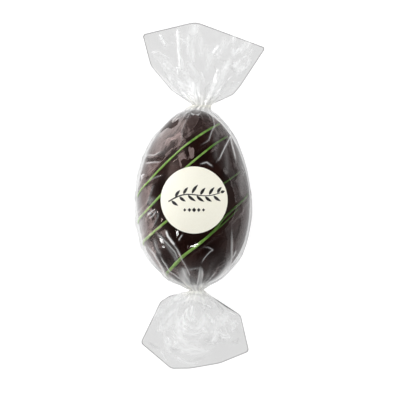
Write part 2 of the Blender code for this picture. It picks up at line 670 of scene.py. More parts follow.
@dataclass
class CoatedEgg:
    """Marzipan under a coat of dark couverture, with the flat foot that it set on."""

    form: Ovoid
    foot_height: float = 0.25
    waves: float = 0.22  # how far the coat's slow waves rise
    ripple: float = 0.07
    rows: int = 190
    columns: int = 300

    def lift(self, points: Points) -> Points:
        """How far the coat stands out at each place: slow waves and a finer ripple."""
        return self.waves * uneven(points, 13.0) + self.ripple * uneven(points, 4.0, 7.3)

    def build(self, material: bpy.types.Material) -> bpy.types.Object:
        """Makes the egg.

        Args:
            material: the coat's finish.

        Returns:
            The egg's object.
        """
        turn = np.linspace(0.0, math.pi, self.rows)
        y = self.form.middle - self.form.half_length * np.cos(turn)
        lean, y = np.meshgrid(np.linspace(0.0, 2.0 * math.pi, self.columns, endpoint=False), y)
        points, normals = self.form.point(lean, y), self.form.normal(lean, y)
        normals[0], normals[-1] = (0.0, -1.0, 0.0), (0.0, 1.0, 0.0)
        points = points + normals * self.lift(points)[..., None]
        points[..., 2] = np.maximum(points[..., 2], self.foot_height)
        egg = make_object("coated_egg", points, grid_faces(self.rows, self.columns), material)
        return place(egg, "wrapper")


@dataclass(frozen=True)
class IcingLine:
    """One line of icing: places that it runs through, seen from above, and how wide it is."""

    through: tuple[XY, ...]
    width: float
    run_on: tuple[float, float]  # how far each end runs on down the side
    narrowing: float  # share of its width that it loses by its end


@dataclass
class IcingDrizzle:
    """Lines of green icing thrown across the egg while it lay on its foot."""

    egg: CoatedEgg
    lines: tuple[IcingLine, ...] = (
        IcingLine(
            ((-18.2, 4.8), (-11.0, 12.4), (-3.9, 19.0), (2.8, 23.9), (9.4, 27.9)), 0.85, (7, 0.7), 0.15
        ),
        IcingLine(
            ((-19.3, -6.2), (-12.7, 0.7), (-6.8, 7.4), (-1.7, 12.6), (7.2, 19.9), (12.3, 23.2)),
            0.88, (7, 1), 0.15,
        ),
        IcingLine(((-17.8, -14.7), (-9.9, -7.9), (0.0, -0.8), (11.4, 6.3), (15.1, 8.9)), 1.1, (7, 4), 0.5),
        IcingLine(
            ((-9.4, -26.5), (-3.9, -20.6), (1.7, -16.2), (7.2, -11.4), (11.2, -6.4), (17.8, -0.4)),
            1.3, (6, 6), 0.4,
        ),
        IcingLine(((4.6, -13.6), (7.9, -11.2), (12.2, -7.4), (14.6, -5.0)), 0.6, (0, 3), 0.2),
    )
    step: float = 0.35
    sides: int = 12
    bead_height: float = 0.62  # as a share of its width
    stand: float = 0.08  # how far the bead's middle lies above the coat
    cover: tuple[float, float] = (0.72, 0.10)  # painted shade: the value at the -X side, and the darker value at the +X side

    def run_on(self, points: Points, distance: float) -> Points:
        """Carries a line on over the egg from its last two points, straight ahead on the surface.

        Args:
            points: the line so far, at least two points.
            distance: how far to go on.

        Returns:
            The added points.
        """
        form = self.egg.form
        last, ahead, added = points[-1], points[-1] - points[-2], []
        for _ in range(int(distance / self.step)):
            guess = last + unit(ahead) * self.step
            after = form.point(form.lean(guess), guess[1])
            last, ahead = after, after - last
            added.append(after)
        return np.array(added).reshape(-1, 3)

    def even(self, points: Points) -> Points:
        """The same line with its points evenly spaced.

        Args:
            points: the line.

        Returns:
            Its new points.
        """
        length = lengths(points)
        places = np.linspace(0.0, length[-1], max(8, int(length[-1] / self.step)))
        return np.stack([np.interp(places, length, points[:, k]) for k in range(3)], axis=-1)

    def route(self, line: IcingLine) -> Points:
        """The middle of a line on the egg, in even steps.

        Args:
            line: the line.

        Returns:
            Points of the smooth surface.
        """
        form = self.egg.form
        knots = np.array(line.through)
        padded = np.concatenate([[2 * knots[0] - knots[1]], knots, [2 * knots[-1] - knots[-2]]])
        t = np.linspace(0.0, 1.0, 40, endpoint=False)[:, None]
        pieces = []
        for a, b, c, d in zip(padded, padded[1:], padded[2:], padded[3:]):  # a smooth curve from b to c
            bend = (2 * a - 5 * b + 4 * c - d) * t**2 + (3 * b - a - 3 * c + d) * t**3
            pieces.append(0.5 * (2 * b + (c - a) * t + bend))
        curve = np.concatenate([*pieces, knots[-1:]])
        lean = np.arcsin(np.clip(curve[:, 0] / form.outline(curve[:, 1]), -1.0, 1.0))
        points = self.even(form.point(lean, curve[:, 1]))
        before = self.run_on(points[::-1], line.run_on[0])[::-1]
        after = self.run_on(points, line.run_on[1])
        return self.even(np.concatenate([before, points, after]))

    def build_line(self, name: str, line: IcingLine, material: bpy.types.Material) -> bpy.types.Object:
        """Makes one line as a flattened bead with round ends.

        Args:
            name: the bead's name.
            line: the line.
            material: the icing's finish.

        Returns:
            The bead's object.
        """
        form, route = self.egg.form, self.route(line)
        lean = form.lean(route)
        middle, normal = form.point(lean, route[:, 1]), form.normal(lean, route[:, 1])
        middle = middle + normal * self.egg.lift(middle)[:, None]
        aside = unit(np.cross(unit(np.gradient(middle, axis=0)), normal))
        count = len(middle)
        along = np.arange(count) * self.step
        from_end = np.minimum(along, along[-1] - along)
        taper = np.sqrt(np.clip(from_end / (0.6 * line.width), 0.02, 1.0))
        waver = 1.0 + 0.16 * uneven(middle, 5.0, 3.1) + 0.08 * uneven(middle, 1.6, 9.4)
        half = 0.5 * line.width * taper * waver * (1.0 - line.narrowing * along / along[-1])
        turn = np.linspace(0.0, 2.0 * math.pi, self.sides, endpoint=False)
        out = (half[:, None] * np.cos(turn))[..., None]
        up = (half[:, None] * self.bead_height * np.sin(turn))[..., None] + self.stand
        bead = middle[:, None, :] + aside[:, None, :] * out + normal[:, None, :] * up
        faces = grid_faces(count, self.sides).tolist()
        faces += [list(range(self.sides))[::-1], list(range((count - 1) * self.sides, count * self.sides))]
        obj = make_object(name, bead, faces, material)
        # painted shade: the icing is made darker towards +X
        cover = mix(*self.cover, smooth((middle[:, 0] - 2.0) / 12.0))
        add_values(obj, "cover", np.repeat(cover, self.sides))
        return place(obj, "wrapper")

    def middles(self) -> Points:
        """The middles of all the lines."""
        return np.concatenate([self.route(line) for line in self.lines])

    def build(self, material: bpy.types.Material) -> None:
        """Makes every line."""
        for number, line in enumerate(self.lines, 1):
            self.build_line(f"icing_line_{number}", line, material)


# ----------------------------------------
# The film


@dataclass(frozen=True)
class Crease:
    """A sharp fold in the film, seen from above: where it runs, and how far each side of it slopes away."""

    through: Sequence[XY] | Points
    height: float
    white: float  # how white the film is along it: whitening of the fold, and a painted highlight
    slopes: tuple[float, float] = (0.8, 0.8)  # how wide it slopes away on its left and on its right
    fades: tuple[float, float] = (0.2, 0.3)  # shares of its length over which it rises and dies away
    spread: float = 0.45  # how far from it the whiteness reaches

    def over(self, x: Points, y: Points) -> tuple[Points, Points]:
        """Height and whiteness that it gives to places.

        Args:
            x: places, in millimetres.
            y: places, in millimetres.

        Returns:
            Heights in millimetres and whiteness from 0 to 1.
        """
        near, signed, along = beside(np.array(self.through, float), x, y)
        strength = smooth(along / self.fades[0]) * smooth((1.0 - along) / self.fades[1])
        slope = np.where(signed > 0, *self.slopes)
        height = self.height * strength * np.clip(1.0 - near / slope, 0.0, 1.0)
        return height, self.white * strength * np.exp(-((near / self.spread) ** 2))


@dataclass(frozen=True)
class CrushedPatch:
    """A place where the film is crumpled into small hard facets."""

    middle: XY
    radius: float
    strength: float

    def over(self, x: Points, y: Points) -> Points:
        """Strength at each place."""
        off = np.hypot(x - self.middle[0], y - self.middle[1]) / self.radius
        return self.strength * (1.0 - smooth(off - 0.3))


@dataclass(frozen=True)
class PaintedDarkPlace:
    """Painted shade on the film: a place where it is made to mirror less, so that it shows dark."""

    corners: tuple[XY, ...]
    amount: float


@dataclass(frozen=True)
class Facet:
    """A small flat place in the film, tilted its own way, that mirrors one part of the room."""

    corners: tuple[XY, ...]
    lean: float  # degrees from straight up
    facing: float  # degrees from +X towards +Y
    lift: float = 0.25  # how far its middle stands above the film round it
    resting: float = 0.0  # how much of what it mirrors comes from the coat under it

    def press(self, points: Points, chosen: Points) -> Points:
        """Presses the facet into the film.

        Args:
            points: the film, whose heights are changed.
            chosen: True where they may change.

        Returns:
            True for each point that now lies on the facet.
        """
        x, y = points[..., 0], points[..., 1]
        inside = within(self.corners, x, y) & chosen
        if inside.any():
            middle_x, middle_y = np.mean(self.corners, axis=0)
            base = float(points[..., 2][inside].mean())
            towards = math.radians(self.facing)
            across = (x - middle_x) * math.cos(towards) + (y - middle_y) * math.sin(towards)
            plane = base + self.lift - math.tan(math.radians(self.lean)) * across
            points[..., 2] = np.where(inside, plane, points[..., 2])
        return inside


class Grain(Enum):
    """Which way the white streaks of a fan run, partly milky and partly painted highlight."""

    OUT = "out from the neck"
    ROUND = "round a middle"


@dataclass(frozen=True)
class RubbedAndSheenPlace:
    """A place of soft white streaks in the film: partly the milky whitening left by folding it many times,
    partly painted highlights where its folds would mirror the lights.
    """

    middle: XY
    radius: float
    count: int
    grain: Grain
    length: float
    spread: float
    white: float
    seed: int

    def streaks(self, neck: XY) -> list[Crease]:
        """The streaks as broad, low folds.

        Args:
            neck: where the fan is gathered.

        Returns:
            One crease for each streak.
        """
        rng = np.random.default_rng(self.seed)
        middle, found = np.array(self.middle), []
        for _ in range(self.count):
            off, turn = self.radius * math.sqrt(rng.uniform(0.02, 1.0)), rng.uniform(0.0, 2 * math.pi)
            length = self.length * rng.uniform(0.5, 1.5)
            if self.grain is Grain.ROUND:
                swept = turn + np.linspace(0.0, min(length / max(off, 1.5), 2.4), 6)
                growth = off * (1.0 + np.linspace(0.0, rng.uniform(-0.15, 0.15), 6))
                line = middle + growth[:, None] * heading(swept)
            else:
                start = middle + off * heading(turn)
                ahead = math.atan2(start[1] - neck[1], start[0] - neck[0]) + rng.uniform(-0.22, 0.22)
                step = heading(ahead + np.linspace(0.0, rng.uniform(-0.5, 0.5), 5)) * length / 4
                line = start + np.cumsum(step, axis=0) - step.sum(axis=0) / 2
            spread = self.spread * rng.uniform(0.6, 1.5)
            white = self.white * rng.uniform(0.3, 1.0)
            found.append(Crease(line, 0.03 * spread, white, (2 * spread, 2 * spread), (0.25, 0.3), spread))
        return found


@dataclass(frozen=True)
class Fan:
    """One gathered end of the film. The corners of its cut edge run from the +X side to the -X side.

    Its milk is how white the film is round its neck, how far that reaches over the egg and how sharply it
    ends, and then how white the streaks along its pleats are and how far they reach.
    """

    name: str
    neck: XY
    radius: float
    rim: tuple[XY, ...]
    lift: tuple[float, float]
    wave_height: float
    waves: int
    seed: int
    milk: tuple[float, ...]
    rays: int  # loose folds that run out from the neck
    arcs: int  # short folds that lie across them
    creases: tuple[Crease, ...]
    patches: tuple[CrushedPatch, ...]
    rubbed_and_sheen: tuple[RubbedAndSheenPlace, ...]

    def along_rim(self, share: Points) -> Points:
        """Places on the cut edge, whose corners are a little rounded.

        Args:
            share: 0 at its +X end and 1 at its -X end.

        Returns:
            X and Y of each place.
        """
        corners = np.array(self.rim)
        length = lengths(corners)
        at = np.asarray(share) * length[-1]
        rounded = np.zeros((*at.shape, 2))
        for shift in (-0.9, -0.4, 0.4, 0.9):
            spots = [np.interp(at + shift, length, corners[:, k]) for k in (0, 1)]
            rounded += 0.25 * np.stack(spots, axis=-1)
        return rounded

    def to_outline(self, x: Points, y: Points) -> Points:
        """Distance from each place to the fan's outline.

        Args:
            x: places, in millimetres.
            y: places, in millimetres.

        Returns:
            Distances in millimetres.
        """
        side = np.array([self.radius, 0.0])
        rim = self.along_rim(np.linspace(0, 1, 120))
        return beside(np.concatenate([[self.neck + side], rim, [self.neck - side]]), x, y)[0]

    def plan(self, share: Points, s: Points) -> Points:
        """Places in the fan seen from above.

        Args:
            share: place along its cut edge, from 0 to 1.
            s: place out from its neck, from 0 to 1.

        Returns:
            X and Y of each place.
        """
        side = np.cos(np.asarray(share) * math.pi)
        neck = np.stack([self.neck[0] + self.radius * side, np.full_like(side, self.neck[1])], axis=-1)
        return mix(neck, self.along_rim(share), np.asarray(s)[..., None])

    def loose_creases(self, seed: int) -> list[Crease]:
        """Folds that the fan keeps from being handled: rays out of the neck and short arcs across them.

        Args:
            seed: which set of folds.

        Returns:
            The folds.
        """
        rng = np.random.default_rng(seed)
        thirds = np.array([0.0, 0.5, 1.0])

        def fold(line: Points, widest: float, highest: float, fades: tuple[float, float]) -> Crease:
            """One fold, with slopes, height and whiteness at random.

            Args:
                line: where it runs.
                widest: the widest slope it may have.
                highest: the most height it may have.
                fades: shares of its length over which it rises and dies away.

            Returns:
                The fold.
            """
            slopes = tuple(rng.uniform(0.5, widest, 2))
            height, white = rng.uniform(0.1, highest), rng.uniform(0.1, 0.5)
            return Crease(line, height, white, slopes, fades, 0.45)

        folds = []
        for _ in range(self.rays):
            share, begin = rng.uniform(0.06, 0.94), rng.choice([0.03, 0.03, rng.uniform(0.2, 0.6)])
            s = begin + thirds * rng.uniform(0.15, 0.45)
            sway = np.array([0.0, rng.uniform(-0.02, 0.02), rng.uniform(-0.05, 0.05)])
            folds.append(fold(self.plan(share + sway, s), 1.4, 0.3, (0.2, 0.4)))
        for _ in range(self.arcs):
            share, s = rng.uniform(0.1, 0.85), rng.uniform(0.22, 0.9)
            bend = thirds * rng.uniform(0.05, 0.16)
            sway = np.array([0.0, rng.uniform(0.0, 0.06), rng.uniform(-0.03, 0.08)])
            folds.append(fold(self.plan(share + bend, s + sway), 1.2, 0.25, (0.35, 0.35)))
        return folds


@dataclass
class FilmWrapper:
    """One sheet of clear film round the egg, gathered at both ends and opened into fans."""

    form: Ovoid
    top: Fan
    bottom: Fan
    label_middle: XY
    label_radius: float
    creases: tuple[Crease, ...]
    patches: tuple[CrushedPatch, ...]
    facets: tuple[Facet, ...]
    # places of painted shade, where the film is made to mirror less
    painted_dark: tuple[PaintedDarkPlace, ...]
    beads: Points
    sheet_around: float = 133.0
    body_rows: int = 328
    body_columns: int = 296
    fan_rows: int = 88
    fan_columns: int = 480
    crowding: float = 0.6  # how much closer the columns lie on the upper side
    side_crowding: float = 0.25  # and near the side edges of a fan
    pleats: int = 26
    pleat_reach: float = 15.0  # how far over the egg the pleats run
    lean_share: float = 0.35  # how much of a neck's offset the sheet takes up over the egg
    lean_reach: float = 18.0
    neck_bend: float = 1.5
    neck_pleat: float = 0.17  # depth of the pleats in a neck, as a share of its radius
    egg_pleat: float = 0.45  # height of the pleats that run on over the egg
    ray_height: float = 0.65  # height of the folds that run out of a neck into its fan
    layer_gap: float = 0.45  # half the space between the two layers of a fan
    edge_width: float = 0.14
    room: float = 0.80  # between the form and the middle of the large facets
    crushed_room: float = 0.6  # more of it where the sheet is crushed
    facet_sizes: tuple[CreaseField, ...] = (  # large, middling and small
        CreaseField(11.0, 3, 1.5),
        CreaseField(5.0, 5, 1.7),
        CreaseField(2.2, 8, 1.3),
    )
    large: float = 0.40  # height of the large facets
    middling: tuple[float, float] = (0.10, 0.12)  # height of the middling facets, round the egg and in a fan
    drawn_in: float = 1.7  # how far it is pulled tight between the egg and each neck
    lowest: float = 0.04  # keeps it clear of the table
    bead_push: float = 0.38  # how far the icing pushes it out
    bead_reach: float = 0.9
    bead_fall: float = 0.8

    def __post_init__(self) -> None:
        """Sets the columns' angles, from straight up towards +X.

        They lie closer together on the upper side and, in the fans, near the two side edges.
        """
        even = np.linspace(-math.pi, math.pi, self.body_columns, endpoint=False)
        self.lean = even - self.crowding * np.sin(even)
        even = np.linspace(-math.pi, math.pi, self.fan_columns, endpoint=False)
        self.fan_lean = even - self.crowding * np.sin(even) + self.side_crowding * np.sin(2 * even)

    def zigzag(self, share: Points, nodes: int, seed: int) -> Points:
        """A sharp, uneven zigzag that closes on itself.

        Args:
            share: place round the sheet, from 0 to 1.
            nodes: how many turning points, an even number.
            seed: which zigzag.

        Returns:
            Heights from -1 to 1.
        """
        rng = np.random.default_rng(seed)
        places = (np.arange(nodes) + rng.uniform(-0.33, 0.33, nodes)) / nodes
        heights = np.where(np.arange(nodes) % 2 == 0, 1.0, -1.0) * rng.uniform(0.35, 1.0, nodes)
        around = np.concatenate([[places[-1] - 1.0], places, [places[0] + 1.0]])
        return np.interp(share % 1.0, around, np.concatenate([[heights[-1]], heights, [heights[0]]]))

    def round_egg(self) -> tuple[Points, Points, Points, Points]:
        """The smooth sheet round the egg with its pleats, from the -Y neck to the +Y neck.

        Returns:
            Points, places along the sheet, distances from the nearer neck, and how gathered it is.
        """
        low, high = self.bottom.neck[1], self.top.neck[1]
        y = mix(low, high, 0.5 - 0.5 * np.cos(np.linspace(0.0, math.pi, self.body_rows)))
        lean, y = np.meshgrid(self.lean, y)
        to_top, to_bottom = high - y, y - low
        reach, upper = np.minimum(to_top, to_bottom), to_top < to_bottom
        radius = np.where(upper, self.top.radius, self.bottom.radius)
        outline = self.form.outline(y)
        half_width = (outline**4 + radius**4) ** 0.25
        half_height = ((outline * self.form.flatness) ** 4 + radius**4) ** 0.25
        drawn = self.drawn_in * smooth(reach / 2.5) * (1.0 - smooth((reach - 6.0) / 8.0))
        near = 1.0 - smooth(reach / self.pleat_reach)
        share = lean / (2 * math.pi)
        pleats = [self.zigzag(share, self.pleats, fan.seed) for fan in (self.top, self.bottom)]
        pleat = np.where(upper, *pleats)
        on_egg = smooth((reach - 2.0) / 5.0)
        stand = near * mix(self.neck_pleat * radius * pleat, self.egg_pleat * (pleat + 1.0), on_egg)
        neck_x = np.where(upper, self.top.neck[0], self.bottom.neck[0])
        lean_off = self.lean_share * (1.0 - smooth(reach / self.lean_reach))
        bend_off = (1.0 - self.lean_share) * np.exp(-reach / self.neck_bend)
        x = neck_x * (lean_off + bend_off) + (half_width + stand - drawn) * np.sin(lean)
        z = self.form.axis_height + (half_height + stand - drawn) * np.cos(lean)
        points = np.stack([x, y, z], axis=-1)
        along = lengths(points[:, 0])
        white, white_reach, fall, streak_white, streak_reach = (
            np.where(upper, *both) for both in zip(self.top.milk, self.bottom.milk)
        )
        streaks = streak_white * np.maximum(pleat, 0.0) ** 2 * (1.0 - smooth(reach / streak_reach))
        gathered = white * np.exp(-((reach / white_reach) ** fall)) * (0.75 + 0.25 * pleat) + streaks
        return points, np.broadcast_to(along[:, None], x.shape), reach, gathered

    def fan_points(self, fan: Fan) -> tuple[Points, Points, Points, Points]:
        """One fan's smooth sheet, from its neck out to its cut edge.

        Args:
            fan: which fan.

        Returns:
            Points, distances out from the neck, distances to the nearest edge, and how gathered it is.
        """
        rows = np.linspace(0.0, 1.0, self.fan_rows + 1)
        lean, s = np.meshgrid(self.fan_lean, rows + 0.13 * np.sin(math.pi * rows) * rows)
        turned = (lean - math.pi / 2) % (2 * math.pi)  # the +X edge is at a lean of 90 degrees
        share = np.where(turned <= math.pi, turned, 2 * math.pi - turned) / math.pi
        rim = fan.along_rim(share)
        flat, open_ = smooth(s / 0.35), smooth(s / 0.7)
        pleat = self.zigzag(lean / (2 * math.pi), self.pleats, fan.seed)
        radius = fan.radius * (1.0 + self.neck_pleat * pleat * (1.0 - flat))
        side = np.where(np.cos(lean) >= 0, 1.0, -1.0)
        layer = self.layer_gap * side * smooth(np.sin(share * math.pi) / 0.35)
        wave = np.sin(2 * math.pi * (fan.waves * share + 0.13 * fan.seed)) * np.sin(share * math.pi)
        rays = self.zigzag(lean / (2 * math.pi) + 0.21, self.pleats + 8, fan.seed + 12)
        fade = (1.0 - smooth((s - 0.05) / 0.6)) * open_
        x = mix(fan.neck[0] + radius * np.sin(lean), rim[..., 0], s)
        y = mix(fan.neck[1], rim[..., 1], s)
        z = (
            self.form.axis_height
            + mix(fan.lift[0], fan.lift[1], share) * s**2
            + fan.wave_height * open_ * wave
            + self.ray_height * fade * rays
            + mix(radius * np.cos(lean), layer, flat)
        )
        out = s * np.hypot(rim[..., 0] - fan.neck[0], rim[..., 1] - fan.neck[1])
        to_edge = fan.to_outline(x, y)
        gathered = 0.55 * np.exp(-((out / 5.0) ** 1.2)) * (0.8 + 0.2 * pleat)
        return np.stack([x, y, z], axis=-1), out, to_edge, gathered

    def crumple(self, u: Points, v: Points, crushed: Points, middling: float) -> Points:
        """Heights of the hard facets that the whole sheet keeps.

        Args:
            u: place round the sheet.
            v: place along the sheet.
            crushed: height of the small facets at each place.
            middling: height of the middling facets.

        Returns:
            Heights in millimetres.
        """
        heights = zip((self.large, middling, crushed), self.facet_sizes)
        return sum(height * size.heights(u, v, self.sheet_around) for height, size in heights)

    def folds(self, creases: Sequence[Crease], points: Points, chosen: Points) -> tuple[Points, Points]:
        """Heights and whiteness of creases over part of the sheet.

        Args:
            creases: the creases.
            points: the sheet.
            chosen: True where they may act.

        Returns:
            Heights in millimetres and whiteness from 0 to 1.
        """
        height, white = np.zeros(chosen.shape), np.zeros(chosen.shape)
        for crease in creases:
            rise, pale = crease.over(points[..., 0], points[..., 1])
            height = np.maximum(height, rise * chosen)
            white = 1.0 - (1.0 - white) * (1.0 - pale * chosen)
        return height, white

    def over_beads(self, points: Points) -> Points:
        """How far the sheet is pushed out by the icing under it.

        Args:
            points: the sheet.

        Returns:
            Heights in millimetres.
        """
        tree = KDTree(len(self.beads))
        for number, bead in enumerate(self.beads):
            tree.insert(bead, number)
        tree.balance()
        far = np.array([tree.find(point)[2] for point in points.reshape(-1, 3)])
        far = np.maximum(far.reshape(points.shape[:-1]) - self.bead_reach, 0.0)
        return self.bead_push * np.exp(-((far / self.bead_fall) ** 2))

    def raise_body(self, points: Points, v: Points, reach: Points) -> tuple[Points, Points]:
        """Pushes the sheet round the egg out into its facets and folds.

        Args:
            points: the smooth sheet.
            v: places along it.
            reach: distances from the nearer neck.

        Returns:
            The raised sheet, and whiteness from 0 to 1.
        """
        u = (np.broadcast_to(self.lean, v.shape) + math.pi) / (2 * math.pi) * self.sheet_around
        x, y, z = np.moveaxis(points, -1, 0)
        above = z > self.form.axis_height
        off_label = np.hypot(x - self.label_middle[0], y - self.label_middle[1])
        free = np.where(above, smooth((off_label - self.label_radius + 0.5) / 3.0), 1.0)
        free = free * smooth(reach / 7.0)
        crushed = sum(patch.over(x, y) for patch in self.patches) * above
        rough = self.crumple(u, v, crushed, self.middling[0]) + self.room + crushed * self.crushed_room
        fold, white = self.folds(self.creases, points, above)
        around = np.roll(points, -1, axis=1) - np.roll(points, 1, axis=1)
        normals = unit(np.cross(around, np.gradient(points, axis=0)))
        outward = points - np.array([0.0, 0.0, self.form.axis_height])
        normals *= np.sign(np.sum(normals * outward, axis=-1, keepdims=True))
        raised = (rough * free + fold * smooth(reach / 2.0)) * smooth(reach / 1.0)
        return points + normals * (raised + self.over_beads(points) * free)[..., None], white

    def build_body(self, material: bpy.types.Material) -> bpy.types.Object:
        """Makes the part of the sheet that lies round the egg.

        Args:
            material: the film's finish.

        Returns:
            The sheet's object.
        """
        even, v, reach, gathered = self.round_egg()
        x, y, z = np.moveaxis(even, -1, 0)
        above = z > self.form.axis_height
        points, white = self.raise_body(even, v, reach)
        painted_dark, pressed = np.zeros(x.shape), np.zeros(x.shape, bool)
        # painted shade: dark places where the film is made to mirror less
        for spot in self.painted_dark:
            painted_dark = np.where(within(spot.corners, x, y) & above, spot.amount, painted_dark)
        resting = smooth((np.cos(self.lean) - 0.3) / 0.4) * smooth((reach - 3.0) / 5.0)
        resting = resting * (1.0 - 0.7 * smooth((x - 2.0) / 9.0))
        for facet in self.facets:
            inside = facet.press(points, above)
            pressed |= inside
            resting = np.where(inside, facet.resting, resting)
        points[..., 2] = np.maximum(points[..., 2], self.lowest)
        faces = grid_faces(*x.shape)
        film = make_object("film_round_egg", points, faces, material)
        film.data.polygons.foreach_set("use_smooth", ~pressed.ravel()[faces].all(axis=1))
        add_values(film, "gather", gathered)
        add_values(film, "crease", np.where(pressed, 0.0, white))
        add_values(film, "painted_dark", np.where(pressed, 0.0, painted_dark))
        add_values(film, "resting", resting)
        return place(film, "wrapper")

    def build_fan(self, fan: Fan, material: bpy.types.Material) -> bpy.types.Object:
        """Makes one fan, with an upper and a lower layer joined at its sides.

        Args:
            fan: which fan.
            material: the film's finish.

        Returns:
            The fan's object.
        """
        points, out, to_edge, gathered = self.fan_points(fan)
        x, y = points[..., 0], points[..., 1]
        upper = np.broadcast_to(np.cos(self.fan_lean) >= 0, x.shape)
        u = np.broadcast_to((self.fan_lean + math.pi) / (2 * math.pi) * self.sheet_around, out.shape)
        crushed = sum(patch.over(x, y) for patch in fan.patches) * upper
        own_place = out + 200.0 * fan.seed  # far enough along for each fan to have its own facets
        rough = self.crumple(u, own_place, crushed, self.middling[1])
        streaks = [streak for rubbed_and_sheen in fan.rubbed_and_sheen for streak in rubbed_and_sheen.streaks(fan.neck)]
        creases = (*fan.creases, *fan.loose_creases(fan.seed), *streaks)
        over, white_over = self.folds(creases, points, upper)
        under, white_under = self.folds(fan.loose_creases(fan.seed + 1), points, ~upper)
        points[..., 2] += rough * smooth(out / 9.0) * smooth(to_edge / 0.8) + over - under
        film = make_object(fan.name, points, grid_faces(*x.shape), material)
        add_values(film, "gather", gathered)
        add_values(film, "handled", smooth(out / 6.0))
        add_values(film, "crease", np.maximum(white_over, white_under))
        # painted shade: a darker line along the cut edge
        add_values(film, "edge", np.exp(-((to_edge / self.edge_width) ** 2)) * smooth(out / 4.0))
        return place(film, "wrapper")

    def build(self, material: bpy.types.Material) -> None:
        """Makes the whole sheet.

        Args:
            material: the film's finish.
        """
        for fan in (self.top, self.bottom):
            self.build_fan(fan, material)
        self.build_body(material)


# ----------------------------------------
# The label


@dataclass
class PaperLabel:
    """A round sticker on the film, with a sprig of leaves printed across it."""

    middle: XY
    radius: float
    under: Callable[[Points, Points], Points]
    clearance: float = 0.36  # room for the film between it and the form under it
    thickness: float = 0.12
    pucker: float = 0.05
    rings: int = 40
    segments: int = 160

    def height(self, x: Points, y: Points) -> Points:
        """Height of the label's underside: it follows the film, with a few faint puckers near its edge.

        Args:
            x: places, in millimetres.
            y: places, in millimetres.

        Returns:
            Heights in millimetres.
        """
        off_x, off_y = x - self.middle[0], y - self.middle[1]
        pucker = np.sin(9.0 * np.arctan2(off_y, off_x) + 1.0)
        pucker = pucker * self.pucker * smooth((np.hypot(off_x, off_y) / self.radius - 0.6) / 0.4)
        return self.under(x, y) + self.clearance + pucker

    def build(self, paper: bpy.types.Material) -> bpy.types.Object:
        """Makes the paper disc.

        Args:
            paper: the label's finish.

        Returns:
            The disc's object.
        """
        turn = np.linspace(0.0, 2 * math.pi, self.segments, endpoint=False)
        out = np.linspace(0.0, 1.0, self.rings + 1)[1:] * self.radius
        x, y = np.moveaxis(self.middle + out[:, None, None] * heading(turn), -1, 0)
        under = self.height(x, y)
        sides = [np.stack([x, y, z], axis=-1).reshape(-1, 3) for z in (under, under + self.thickness)]
        lower, count = grid_faces(self.rings, self.segments), self.rings * self.segments
        ring = np.arange(self.segments)
        rim, after = ring + count - self.segments, np.roll(ring, -1) + count - self.segments
        edge = np.stack([rim, after, after + count, rim + count], axis=-1)
        faces = [*lower[:, ::-1].tolist(), *(lower + count).tolist(), *edge.tolist()]
        faces += [ring[::-1].tolist(), (ring + count).tolist()]
        label = make_object("paper_label", np.concatenate(sides), faces, paper)
        label.data.set_sharp_from_angle(angle=math.radians(40))
        return place(label, "label")


